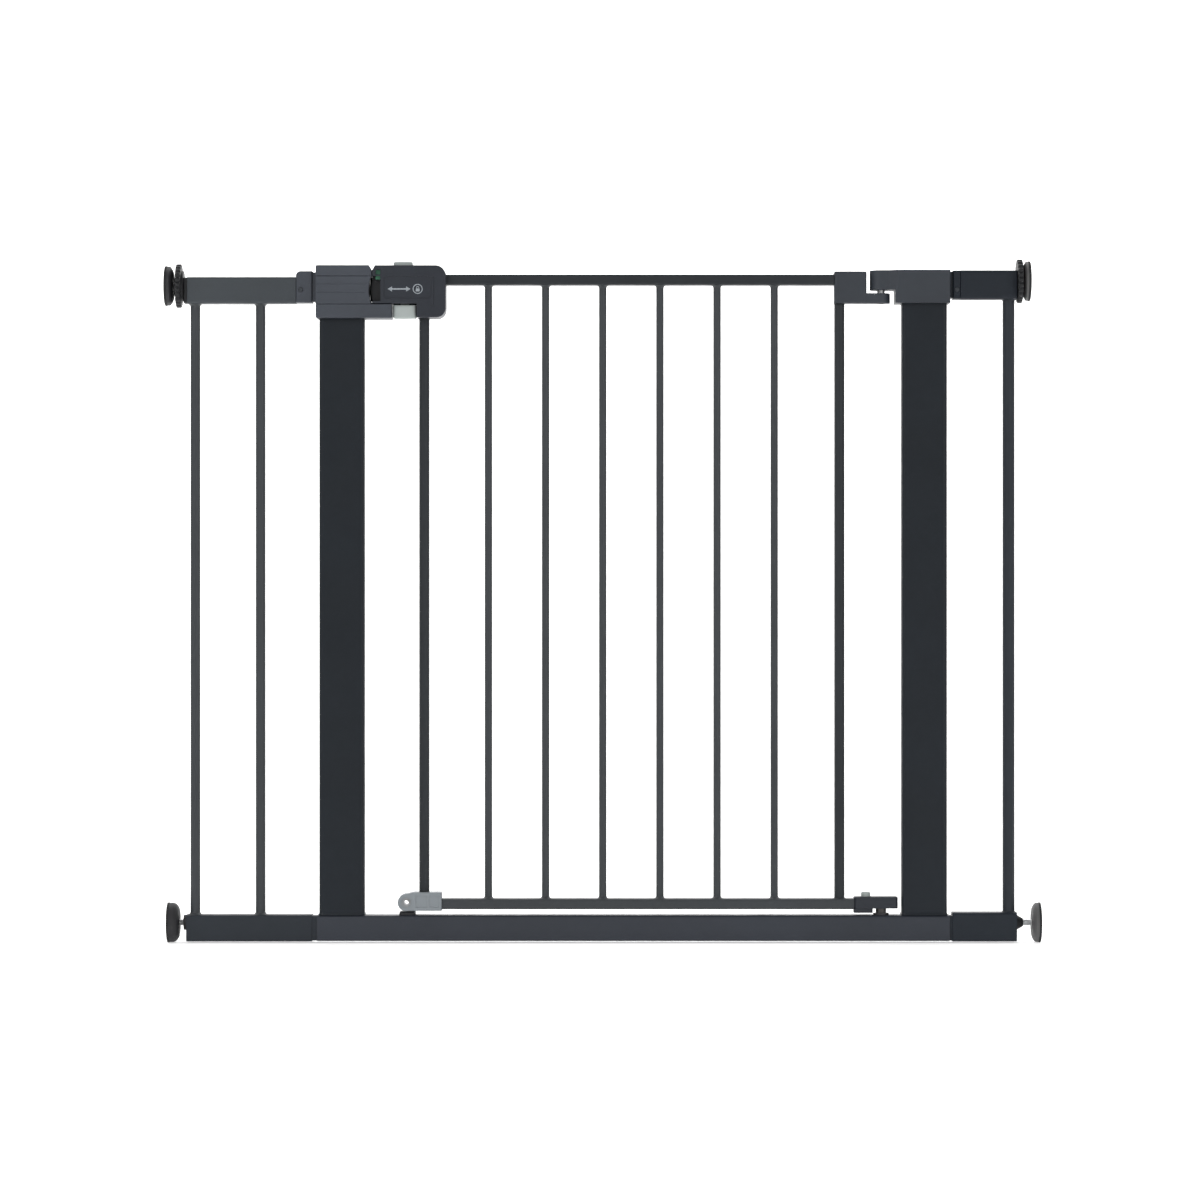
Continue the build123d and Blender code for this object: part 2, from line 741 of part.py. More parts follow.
# ---------------------------------------------------------------- hinge castings on the door
casting_depth = 20.0
arm_radius = 9.5
with BuildPart() as upper_hinge_arm:
    with BuildSketch(Plane.XZ.offset(-casting_depth / 2)):
        with Locations((arm_block_left, arm_bottom)):
            Rectangle(arm_block_right - arm_block_left, 703.8 - arm_bottom, align=(Align.MIN, Align.MIN))
    extrude(amount=casting_depth)
    fillet(upper_hinge_arm.edges().filter_by(Axis.Z), 2.5)
    fillet(upper_hinge_arm.faces().sort_by(Axis.Z)[-1].edges(), 1.2)
    with BuildSketch(Plane.XY.offset(arm_bottom)):
        with Locations((hinge_x, 0)):
            Circle(arm_radius)
        with Locations((hinge_x, 0)):
            Rectangle(hinge_x - arm_block_right + 6, 2 * arm_radius, align=(Align.MAX, Align.CENTER))
    extrude(amount=arm_top - arm_bottom)
    with BuildSketch(Plane.XY.offset(arm_bottom)):
        with Locations((hinge_x, 0)):
            Circle(bush_radius + running)
    extrude(amount=arm_top - arm_bottom, mode=Mode.SUBTRACT)
    with BuildSketch(Plane.YZ.offset(arm_block_left)):
        with Locations((0, (top_rail_bottom + top_rail_top) / 2)):
            Rectangle(door_rail_depth - spigot_clearance, door_rail_height - spigot_clearance)
    extrude(amount=-14.0)
    with BuildSketch(Plane.XY.offset(arm_bottom)):
        with Locations((hinge_stile_x, 0)):
            Circle(stile_radius - steel_wall - fit)
    extrude(amount=-14.0)
upper_hinge_arm.part.label = "upper_hinge_arm"
export_step(upper_hinge_arm.part, "parts/upper_hinge_arm.step")

lug_right = 283.2
lug_bottom = 31.4
block_screw_x = 276.0
block_screw_radius = 2.5
with BuildPart() as lower_hinge_block:
    with BuildSketch(Plane.XY.offset(block_bottom)):
        with Locations(((hinge_block_left + hinge_block_right) / 2, 0)):
            RectangleRounded(hinge_block_right - hinge_block_left, door_rail_depth, 4.0)
    extrude(amount=block_top - block_bottom)
    chamfer(lower_hinge_block.faces().sort_by(Axis.Z)[-1].edges(), 0.8)
    with BuildSketch(Plane.XY.offset(block_bottom)):
        with Locations(((hinge_block_left + lug_right) / 2, 0)):
            RectangleRounded(lug_right - hinge_block_left, door_rail_depth - 2, 3.0)
    extrude(amount=-(block_bottom - lug_bottom))
    with BuildSketch(Plane.YZ.offset(hinge_block_left + 5)):
        with Locations((0, (bottom_rail_bottom + bottom_rail_top) / 2)):
            Rectangle(door_rail_depth - spigot_clearance, door_rail_height - spigot_clearance)
    extrude(amount=-19.0)
    with BuildSketch(Plane.XY.offset(block_bottom)):
        with Locations((hinge_x, 0)):
            Circle(bush_radius + running)
    extrude(amount=lower_bush_top + 0.1 - block_bottom, mode=Mode.SUBTRACT)
    with BuildSketch(Plane.XY.offset(block_top)):
        with Locations((block_screw_x, 0)):
            Circle(block_screw_radius + running)
    extrude(amount=-14.0, mode=Mode.SUBTRACT)
lower_hinge_block.part.label = "lower_hinge_block"
export_step(lower_hinge_block.part, "parts/lower_hinge_block.step")

with BuildPart() as hinge_block_screw:
    with BuildSketch(Plane.XY.offset(block_top)):
        with Locations((block_screw_x, 0)):
            Circle(block_screw_radius)
    extrude(amount=-13.0)
    with BuildSketch(Plane.XY.offset(block_top)):
        with Locations((block_screw_x, 0)):
            Circle(5.0)
    extrude(amount=5.0)
    fillet(hinge_block_screw.edges().filter_by(GeomType.CIRCLE).sort_by(Axis.Z)[-1], 1.6)
    with BuildSketch(Plane.XY.offset(block_top + 5.0)):
        with Locations((block_screw_x, 0)):
            RegularPolygon(2.3, 6)
    extrude(amount=-2.6, mode=Mode.SUBTRACT)
hinge_block_screw.part.label = "hinge_block_screw"
export_step(hinge_block_screw.part, "parts/hinge_block_screw.step")


# ---------------------------------------------------------------- lower latch bracket
eye_x = -205.9
eye_z = 42.3
eye_radius = 9.0
eyelet_outer = 3.6
eyelet_bore = 2.5
latch_bracket_right = -168.8
latch_bracket_bottom = 33.7
latch_bracket_top = 53.0
latch_bracket_depth = 22.0
panel_height = 12.5
panel_recess = 0.6
with BuildPart() as lower_latch_bracket:
    with BuildSketch(Plane.XZ.offset(-latch_bracket_depth / 2)):
        with Locations((eye_x, eye_z)):
            Circle(eye_radius)
        with BuildLine():
            Polyline(
                (eye_x, eye_z - eye_radius + 0.4),
                (latch_bracket_right, latch_bracket_bottom),
                (latch_bracket_right, latch_bracket_top),
                (latch_bracket_right - 29.0, latch_bracket_top),
                (eye_x - 2.5, eye_z + eye_radius - 0.4),
                close=True,
            )
        make_face()
    extrude(amount=latch_bracket_depth)
    chamfer(lower_latch_bracket.faces().sort_by(Axis.Y)[0].edges(), 0.8)
    chamfer(lower_latch_bracket.faces().sort_by(Axis.Y)[-1].edges(), 0.8)
    panel_z = (latch_bracket_bottom + latch_bracket_top) / 2
    for side in (-1, 1):
        with BuildSketch(Plane.XZ.offset(side * latch_bracket_depth / 2)):
            for panel_left, panel_right in ((-196.0, -184.0), (-182.0, -171.5)):
                with Locations(((panel_left + panel_right) / 2, panel_z)):
                    RectangleRounded(panel_right - panel_left, panel_height, 1.0)
        extrude(amount=-side * panel_recess, mode=Mode.SUBTRACT)
    with BuildSketch(Plane.XY.offset(stile_bottom)):
        with Locations((latch_stile_x, 0)):
            Circle(stile_radius + 0.1)
    extrude(amount=latch_bracket_top - stile_bottom + 1, mode=Mode.SUBTRACT)
    with BuildSketch(Plane.YZ.offset(latch_bracket_right + 1)):
        with Locations((0, (bottom_rail_bottom + bottom_rail_top) / 2)):
            RectangleRounded(door_rail_depth + 0.2, door_rail_height + 0.2, 2.0)
    extrude(amount=-(latch_bracket_right + 1 - rail_start_bottom), mode=Mode.SUBTRACT)
    with BuildSketch(Plane.XZ.offset(-latch_bracket_depth)):
        with Locations((eye_x, eye_z)):
            Circle(eyelet_outer + running)
    extrude(amount=2 * latch_bracket_depth, mode=Mode.SUBTRACT)
lower_latch_bracket.part.label = "lower_latch_bracket"
export_step(lower_latch_bracket.part, "parts/lower_latch_bracket.step")

# hollow rivet that can be looked through, with a rolled rim at both ends
rim_thickness = 0.9
with BuildPart() as bracket_rivet:
    with BuildSketch(Plane.XZ.offset(-latch_bracket_depth / 2 - rim_thickness)):
        with Locations((eye_x, eye_z)):
            Circle(eyelet_outer)
    extrude(amount=latch_bracket_depth + 2 * rim_thickness)
    for rim_side in (-1, 1):
        with BuildSketch(Plane.XZ.offset(rim_side * latch_bracket_depth / 2)):
            with Locations((eye_x, eye_z)):
                Circle(eyelet_outer + 1.3)
        extrude(amount=rim_side * rim_thickness)
    with BuildSketch(Plane.XZ.offset(-latch_bracket_depth)):
        with Locations((eye_x, eye_z)):
            Circle(eyelet_bore)
    extrude(amount=2 * latch_bracket_depth, mode=Mode.SUBTRACT)
bracket_rivet.part.label = "bracket_rivet"
export_step(bracket_rivet.part, "parts/bracket_rivet.step")


# ---------------------------------------------------------------- handle shells
button_left = -219.2
button_right = -199.3
button_half_depth = 8.0
button_top = 714.0
trigger_left = -219.8
trigger_right = -195.6
trigger_half_depth = 12.0
trigger_bottom = 654.5
trigger_top = 668.1
press = 4.0                   # travel of the thumb button and of the trigger
indicator_left = -237.8
indicator_right = -232.6
indicator_half_depth = 15.0
indicator_top = 705.0
window_z = 702.4
window_height = 5.2
handle_screws_at = ((-187.0, 704.2), (-174.5, 683.0), (-174.5, 661.5))
handle_boss_radius = 3.2
stem_axis_z = 683.0           # the bolt's stem and the spring behind it
rib_x = -194.4
rib_thickness = 1.6


def handle_outline():
    """Outer profile of the handle: width along the sketch's x, height along its y."""
    with BuildSketch() as profile:
        with BuildLine():
            Polyline(
                (handle_left, nose_bottom),
                (grip_left, nose_bottom),
                (grip_left, grip_bottom),
                (handle_right, grip_bottom),
                (handle_right, handle_top),
                (handle_left + notch_width, handle_top),
                (handle_left, handle_top - notch_depth),
                close=True,
            )
        make_face()
        right_corners = profile.vertices().group_by(Axis.X)[-1]
        fillet(right_corners.sort_by(Axis.Y)[-1], 11.0)
        fillet(profile.vertices().group_by(Axis.Y)[0].sort_by(Axis.X)[-1], 10.0)
        fillet(profile.vertices().group_by(Axis.Y)[0].sort_by(Axis.X)[0], 1.5)
    return profile.sketch


def handle_shell():
    """Front half of the handle: hollow, with openings for the rail, the stile and the latch pieces."""
    with BuildPart() as shell:
        with BuildSketch(Plane.XZ):
            add(handle_outline())
        extrude(amount=shell_depth)
        chamfer(shell.faces().sort_by(Axis.Y)[-1].edges(), parting_chamfer)
        fillet(shell.faces().sort_by(Axis.Y)[0].edges(), 1.4)
        with BuildSketch(Plane.XZ):
            add(handle_outline())
            offset(amount=-shell_wall, kind=Kind.INTERSECTION, mode=Mode.REPLACE)
        extrude(amount=shell_depth - shell_wall, mode=Mode.SUBTRACT)
        # top opening for the thumb button, bottom opening for the trigger
        with BuildSketch(Plane.XY.offset(handle_top + 1)):
            with Locations(((button_left + button_right) / 2, 0)):
                Rectangle(button_right - button_left + 2 * fit + 0.2, 2 * (button_half_depth + fit))
        extrude(amount=-shell_wall - 2, mode=Mode.SUBTRACT)
        with BuildSketch(Plane.XY.offset(nose_bottom - 1)):
            with Locations(((trigger_left + trigger_right) / 2, 0)):
                Rectangle(trigger_right - trigger_left + 2 * fit + 0.4, 2 * (trigger_half_depth + fit))
        extrude(amount=shell_wall + 2, mode=Mode.SUBTRACT)
        # the bolt's mouth on the left, and the slot in the front that shows the bolt
        with BuildSketch(Plane.XZ):
            with Locations((handle_left - 1, nose_bottom + shell_wall)):
                Rectangle(
                    plate_left - handle_left + 1,
                    band_top - nose_bottom - shell_wall,
                    align=(Align.MIN, Align.MIN),
                )
        extrude(amount=shell_depth, mode=Mode.SUBTRACT)
        # corner window for the lock indicator
        with BuildSketch(Plane.XZ.offset(shell_depth / 2)):
            with Locations(((indicator_left + indicator_right) / 2, window_z)):
                RectangleRounded(indicator_right - indicator_left, window_height, 1.0)
        extrude(amount=shell_depth / 2, mode=Mode.SUBTRACT)
        # right side opening for the top rail, bottom opening for the stile
        with BuildSketch(Plane.YZ.offset(handle_right + 1)):
            with Locations((0, (top_rail_bottom + top_rail_top) / 2)):
                RectangleRounded(door_rail_depth + 0.2, door_rail_height + 0.2, 2.0)
        extrude(amount=-shell_wall - 2, mode=Mode.SUBTRACT)
        with BuildSketch(Plane.XY.offset(grip_bottom - 1)):
            with Locations((latch_stile_x, 0)):
                Circle(stile_radius + 0.1)
        extrude(amount=nose_bottom + shell_wall + 1 - grip_bottom, mode=Mode.SUBTRACT)
        # rib that carries the fixed end of the latch spring
        with BuildSketch(Plane.XZ):
            with Locations((rib_x, stem_axis_z)):
                Rectangle(rib_thickness, 12.0)
        extrude(amount=shell_depth - 1.0)
    return shell.part


inset_left = -229.0
inset_right = -179.0
inset_bottom = 675.0
inset_top = 698.0
inset_depth = 0.7
grip_line_inset = 12.0
handle_seat = shell_depth - (screw_head_depth - groove)

with BuildPart() as handle_front_shell:
    add(handle_shell())
    # groove that follows the grip's right and lower edges
    with BuildSketch(Plane.XZ.offset(shell_depth)) as grip_line:
        add(handle_outline())
        offset(amount=-grip_line_inset, kind=Kind.INTERSECTION, mode=Mode.REPLACE)
        add(
            offset(grip_line.sketch_local, amount=-groove, kind=Kind.INTERSECTION, mode=Mode.PRIVATE),
            mode=Mode.SUBTRACT,
        )
        with Locations((handle_left - 1, grip_bottom)):
            Rectangle(
                inset_right - handle_left + 1,
                handle_top - grip_bottom,
                align=(Align.MIN, Align.MIN),
                mode=Mode.SUBTRACT,
            )
    extrude(amount=-groove / 2, mode=Mode.SUBTRACT)
    # shallow inset panel
    with BuildSketch(Plane.XZ.offset(shell_depth)):
        with Locations(((inset_left + inset_right) / 2, (inset_bottom + inset_top) / 2)):
            RectangleRounded(inset_right - inset_left, inset_top - inset_bottom, 3.0)
    extrude(amount=-inset_depth, mode=Mode.SUBTRACT)
    for screw_x, screw_z in handle_screws_at:
        with BuildSketch(Plane.XZ.offset(1.0)):
            with Locations((screw_x, screw_z)):
                Circle(handle_boss_radius)
                Circle(housing_screw_radius + running, mode=Mode.SUBTRACT)
        extrude(amount=shell_depth - shell_wall - 0.8)
handle_front_shell.part.label = "handle_front_shell"
export_step(handle_front_shell.part, "parts/handle_front_shell.step")

with BuildPart() as handle_rear_shell:
    mirror(handle_shell(), about=Plane.XZ)
    for screw_x, screw_z in handle_screws_at:
        with BuildSketch(Plane.XZ.offset(-1.0)):
            with Locations((screw_x, screw_z)):
                Circle(handle_boss_radius)
        extrude(amount=-(shell_depth - shell_wall - 0.8))
        with BuildSketch(Plane.XZ):
            with Locations((screw_x, screw_z)):
                Circle(housing_screw_radius + fit)
        extrude(amount=-shell_depth, mode=Mode.SUBTRACT)
        with BuildSketch(Plane.XZ.offset(-shell_depth)):
            with Locations((screw_x, screw_z)):
                Circle(screw_head_radius + fit)
        extrude(amount=screw_head_depth - groove, mode=Mode.SUBTRACT)
handle_rear_shell.part.label = "handle_rear_shell"
export_step(handle_rear_shell.part, "parts/handle_rear_shell.step")

with BuildPart() as handle_screws:
    for screw_x, screw_z in handle_screws_at:
        with BuildSketch(Plane.XZ.offset(-handle_seat)):
            with Locations((screw_x, screw_z)):
                Circle(housing_screw_radius)
        extrude(amount=handle_seat + shell_depth - shell_wall - 4.0)
        with BuildSketch(Plane.XZ.offset(-handle_seat)):
            with Locations((screw_x, screw_z)):
                Circle(screw_head_radius)
        extrude(amount=-screw_head_depth)
        with BuildSketch(Plane.XZ.offset(-handle_seat - screw_head_depth)):
            with Locations((screw_x, screw_z)):
                Rectangle(3.6, 0.8)
                Rectangle(0.8, 3.6)
        extrude(amount=1.2, mode=Mode.SUBTRACT)
handle_screws.part.label = "handle_screws"
export_step(handle_screws.part, "parts/handle_screws.step")


# ---------------------------------------------------------------- latch pieces inside the handle
button_flange_top = handle_top - shell_wall - 0.4
with BuildPart() as thumb_button:
    with BuildSketch(Plane.XY.offset(button_flange_top - 2.4)):
        with Locations(((button_left + button_right) / 2, 0)):
            RectangleRounded(button_right - button_left + 3.4, 2 * button_half_depth + 4.0, 1.0)
    extrude(amount=2.4)
    with BuildSketch(Plane.XY.offset(button_flange_top)):
        with Locations(((button_left + button_right) / 2, 0)):
            RectangleRounded(button_right - button_left, 2 * button_half_depth, 2.5)
    extrude(amount=button_top - button_flange_top)
    fillet(thumb_button.faces().sort_by(Axis.Z)[-1].edges(), 1.5)
    for ridge in (-1, 0, 1):
        with BuildSketch(Plane.XY.offset(button_top)):
            with Locations(((button_left + button_right) / 2 + 4.0 * ridge, 0)):
                SlotOverall(11.0, 1.2, rotation=90)
        extrude(amount=-0.6, mode=Mode.SUBTRACT)
    with BuildSketch(Plane.XY.offset(button_flange_top - 2.4)):
        with Locations(((button_left + button_right) / 2, 0)):
            Rectangle(9.0, 7.0)
    extrude(amount=-12.5)
thumb_button.part.label = "thumb_button"
export_step(thumb_button.part, "parts/thumb_button.step")

with BuildPart() as squeeze_trigger:
    with BuildSketch(Plane.XY.offset(trigger_bottom)):
        with Locations(((trigger_left + trigger_right) / 2, 0)):
            RectangleRounded(trigger_right - trigger_left, 2 * trigger_half_depth, 2.5)
    extrude(amount=trigger_top - trigger_bottom)
    fillet(squeeze_trigger.faces().sort_by(Axis.Z)[0].edges(), 1.8)
    with BuildSketch(Plane.XY.offset(trigger_top)):
        with Locations(((trigger_left + trigger_right) / 2, 0)):
            Rectangle(9.0, 7.0)
    extrude(amount=7.0)
squeeze_trigger.part.label = "squeeze_trigger"
export_step(squeeze_trigger.part, "parts/squeeze_trigger.step")

bolt_half_depth = 9.0
bolt_gap = 0.6                # between the bolt's rounded tip and the receiver's hollow edge
bolt_head_right = -229.0
bolt_stem_right = -208.5
bolt_bottom = 672.8
bolt_top = 695.0
bolt_lip_left = -241.2
bolt_lip_top = 698.3


def bolt_tip(z):
    """X of the bolt's tip at a height: the receiver's hollow edge moved in by the gap."""
    half_chord = (band_top - receiver_arm_top) / 2
    radius = (half_chord**2 + band_hollow**2) / (2 * band_hollow)
    return receiver_right - band_hollow + bolt_gap + radius - math.sqrt(radius**2 - (z - band_middle) ** 2)


with BuildPart() as latch_bolt:
    with BuildSketch(Plane.XZ.offset(-bolt_half_depth)):
        with BuildLine():
            ThreePointArc(
                (bolt_tip(bolt_bottom), bolt_bottom),
                (bolt_tip(band_middle), band_middle),
                (bolt_tip(bolt_top), bolt_top),
            )
            Polyline(
                (bolt_tip(bolt_top), bolt_top),
                (bolt_head_right, bolt_top),
                (bolt_head_right, bolt_bottom),
                (bolt_tip(bolt_bottom), bolt_bottom),
            )
        make_face()
    extrude(amount=2 * bolt_half_depth)
    chamfer(latch_bolt.edges().filter_by(GeomType.CIRCLE), 1.5)
    # raised lip that closes the mouth above the bolt
    with BuildSketch(Plane.XY.offset(bolt_top)):
        with Locations((bolt_lip_left, 0)):
            Rectangle(
                indicator_left - bolt_lip_left,
                2 * bolt_half_depth,
                align=(Align.MIN, Align.CENTER),
            )
    extrude(amount=bolt_lip_top - bolt_top)
    with BuildSketch(Plane.YZ.offset(bolt_head_right - 1)):
        with Locations((0, stem_axis_z)):
            Rectangle(8.0, 6.0)
    extrude(amount=bolt_stem_right - bolt_head_right + 1)
latch_bolt.part.label = "latch_bolt"
export_step(latch_bolt.part, "parts/latch_bolt.step")

with BuildPart() as lock_indicator:
    with BuildSketch(Plane.XY.offset(bolt_top)):
        with Locations((indicator_left, 0)):
            Rectangle(
                indicator_right - indicator_left,
                2 * indicator_half_depth,
                align=(Align.MIN, Align.CENTER),
            )
    extrude(amount=indicator_top - bolt_top)
lock_indicator.part.label = "lock_indicator"
export_step(lock_indicator.part, "parts/lock_indicator.step")

# compression spring between the bolt's stem and the rib in the handle
wire_radius = 0.45
coil_radius = 2.4
coil_turns = 5
spring_start = bolt_stem_right + wire_radius + 0.1
spring_length = rib_x - rib_thickness / 2 - 0.1 - wire_radius - spring_start
with BuildPart() as latch_spring:
    with BuildLine() as coil:
        Helix(
            pitch=spring_length / coil_turns,
            height=spring_length,
            radius=coil_radius,
            center=(spring_start, 0, stem_axis_z),
            direction=(1, 0, 0),
        )
    with BuildSketch(Plane(origin=coil.line @ 0, z_dir=coil.line % 0)):
        Circle(wire_radius)
    sweep()
latch_spring.part.label = "latch_spring"
export_step(latch_spring.part, "parts/latch_spring.step")


# ---------------------------------------------------------------- pressure mounts
# side, height of the axis, wall face, inner end of the spindle, thickness of the cup, length of its hub
mounts = {
    "upper_left": (-1, upper_left_axis_z, half_opening, 375.0, 5.7, 0.5),
    "lower_left": (-1, lower_axis_z, 457.0, 375.0, 9.5, 1.0),
    "upper_right": (1, upper_right_axis_z, 448.6, 397.0, 4.2, 0.0),
    "lower_right": (1, lower_axis_z, half_opening, 399.0, 6.0, 1.0),
}
socket_depth = 3.0
spindle_chamfer = 0.8
for place, (side, axis_z, wall, inner_end, cup_thickness, hub) in mounts.items():
    cup_wall_side = wall - pad_thickness
    cup_inner = cup_wall_side - cup_thickness
    spindle_end = cup_inner + socket_depth

    with BuildPart() as wall_pad:
        with BuildSketch(Plane.YZ.offset(side * cup_wall_side)):
            with Locations((0, axis_z)):
                Circle(cup_radius)
        extrude(amount=side * pad_thickness)
        chamfer(wall_pad.faces().sort_by(Axis.X)[-1 if side > 0 else 0].edges(), 0.8)
    wall_pad.part.label = f"{place}_wall_pad"
    export_step(wall_pad.part, f"parts/{place}_wall_pad.step")

    with BuildPart() as wall_cup:
        with BuildSketch(Plane.XZ):
            with BuildLine():
                Polyline(
                    (side * (cup_inner - hub), axis_z),
                    (side * cup_wall_side, axis_z),
                    (side * cup_wall_side, axis_z + cup_radius - 0.4),
                    (side * (cup_inner + 0.52 * cup_thickness), axis_z + cup_radius - 0.4),
                )
                ThreePointArc(
                    (side * (cup_inner + 0.52 * cup_thickness), axis_z + cup_radius - 0.4),
                    (side * (cup_inner + 0.17 * cup_thickness), axis_z + cup_radius - 2.6),
                    (side * cup_inner, axis_z + 8.5),
                )
                if hub:
                    Polyline(
                        (side * cup_inner, axis_z + 8.5),
                        (side * (cup_inner - hub), axis_z + 7.0),
                        (side * (cup_inner - hub), axis_z),
                    )
                else:
                    Line((side * cup_inner, axis_z + 8.5), (side * cup_inner, axis_z))
            make_face()
        revolve(axis=Axis((0, 0, axis_z), (1, 0, 0)))
        with BuildSketch(Plane.YZ.offset(side * (cup_inner - hub - 1))):
            with Locations((0, axis_z)):
                Circle(spindle_radius + running)
        extrude(amount=side * (hub + 1 + socket_depth), mode=Mode.SUBTRACT)
    wall_cup.part.label = f"{place}_wall_cup"
    export_step(wall_cup.part, f"parts/{place}_wall_cup.step")

    with BuildPart() as spindle:
        with BuildSketch(Plane.YZ.offset(side * inner_end)):
            with Locations((0, axis_z)):
                Circle(spindle_radius)
        extrude(amount=side * (spindle_end - inner_end))
        rims = spindle.edges().filter_by(GeomType.CIRCLE).sort_by(Axis.X)
        chamfer(rims[0 if side > 0 else -1], spindle_chamfer)
    spindle.part.label = f"{place}_spindle"
    export_step(spindle.part, f"parts/{place}_spindle.step")


# tensioning wheels of the upper spindles, with finger scallops round the rim
wheel_scallops = 24
scallop_radius = 2.2
half_scallop = 180 / wheel_scallops
for label, side, axis_z, inner, outer, hub_inner in (
    ("left_tension_wheel", -1, upper_left_axis_z, 442.0, 447.6, 439.7),
    ("right_tension_wheel", 1, upper_right_axis_z, 434.5, 440.2, 434.5),
):
    with BuildPart() as tension_wheel:
        with BuildSketch(Plane.YZ.offset(side * inner)):
            with Locations((0, axis_z)):
                Circle(wheel_radius)
                with PolarLocations(wheel_radius + 1.2, wheel_scallops, start_angle=half_scallop):
                    Circle(scallop_radius, mode=Mode.SUBTRACT)
        extrude(amount=side * (outer - inner))
        if hub_inner < inner:
            with BuildSketch(Plane.YZ.offset(side * hub_inner)):
                with Locations((0, axis_z)):
                    Circle(16.0)
            extrude(amount=side * (inner - hub_inner))
        with BuildSketch(Plane.YZ.offset(side * outer)):
            with Locations((0, axis_z)):
                Circle(wheel_radius - 4.0)
                Circle(7.0, mode=Mode.SUBTRACT)
        extrude(amount=-side * 1.6, mode=Mode.SUBTRACT)
        with BuildSketch(Plane.YZ.offset(side * (hub_inner - 1))):
            with Locations((0, axis_z)):
                Circle(spindle_radius + running)
        extrude(amount=side * (outer - hub_inner + 2), mode=Mode.SUBTRACT)
    tension_wheel.part.label = label
    export_step(tension_wheel.part, f"parts/{label}.step")

# plugs that close the four rail ends and carry the spindles
plug_length = 14.0
spindle_hole = spindle_radius + fit
with BuildPart() as spindle_plugs:
    for side, rail, end, axis_z, flange, nose in (
        (-1, left_top_rail, 435.5, upper_left_axis_z, 3.6, 0.0),
        (-1, left_bottom_rail, 436.5, lower_axis_z, 0.0, 3.2),
        (1, right_top_rail, 434.0, upper_right_axis_z, 0.0, 0.0),
        (1, right_bottom_rail, 434.0, lower_axis_z, 0.0, 7.0),
    ):
        start = min(side * end, side * (end - plug_length))
        add(rail_insert(start, start + plug_length, rail[2], rail[3], extension_depth))
        if flange:
            with BuildSketch(Plane.YZ.offset(side * end)):
                with Locations((0, (rail[2] + rail[3]) / 2)):
                    RectangleRounded(extension_depth - 1.0, rail[3] - rail[2] - 1.0, 2.5)
            extrude(amount=side * flange)
        if nose:
            with BuildSketch(Plane.YZ.offset(side * end)):
                with Locations((0, axis_z)):
                    Circle(8.2)
            extrude(amount=side * nose, taper=30 if nose > 5 else 5)
        with BuildSketch(Plane.YZ.offset(side * (end - plug_length - 1))):
            with Locations((0, axis_z)):
                Circle(spindle_hole)
        extrude(amount=side * (plug_length + 12), mode=Mode.SUBTRACT)
spindle_plugs.part.label = "spindle_plugs"
export_step(spindle_plugs.part, "parts/spindle_plugs.step")
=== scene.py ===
"""Safety gate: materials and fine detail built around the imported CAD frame. Lengths are in metres."""

import json
import math

import bmesh
import bpy
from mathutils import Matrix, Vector


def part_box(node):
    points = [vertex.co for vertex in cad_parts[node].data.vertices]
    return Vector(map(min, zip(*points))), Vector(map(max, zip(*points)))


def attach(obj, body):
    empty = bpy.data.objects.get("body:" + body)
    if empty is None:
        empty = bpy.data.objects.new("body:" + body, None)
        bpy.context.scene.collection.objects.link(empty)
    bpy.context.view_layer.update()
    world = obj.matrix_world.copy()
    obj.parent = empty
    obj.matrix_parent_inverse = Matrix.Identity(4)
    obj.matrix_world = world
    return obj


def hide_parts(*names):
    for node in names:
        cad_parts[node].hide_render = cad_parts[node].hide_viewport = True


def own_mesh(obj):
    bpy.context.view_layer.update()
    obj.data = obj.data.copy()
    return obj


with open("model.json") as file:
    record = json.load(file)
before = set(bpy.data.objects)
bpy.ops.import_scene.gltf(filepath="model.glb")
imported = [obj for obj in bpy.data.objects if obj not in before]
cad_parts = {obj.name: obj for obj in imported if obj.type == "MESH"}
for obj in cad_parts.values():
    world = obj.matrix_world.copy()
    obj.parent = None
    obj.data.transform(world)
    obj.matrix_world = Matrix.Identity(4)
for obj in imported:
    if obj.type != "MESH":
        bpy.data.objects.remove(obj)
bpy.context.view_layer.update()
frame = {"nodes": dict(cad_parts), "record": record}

MM = 0.001
FULL_TURN = 2 * math.pi
WALL_CORNERS = ("upper_left", "lower_left", "upper_right", "lower_right")
SPINDLE_BODY = {
    "upper_left": "upper_left_mount",
    "upper_right": "upper_right_mount",
    "lower_left": "lower_left_spindle",
    "lower_right": "lower_right_spindle",
}
MOUNT_BODY = {
    "upper_left": "upper_left_mount",
    "upper_right": "upper_right_mount",
    "lower_left": "lower_left_cup",
    "lower_right": "lower_right_cup",
}


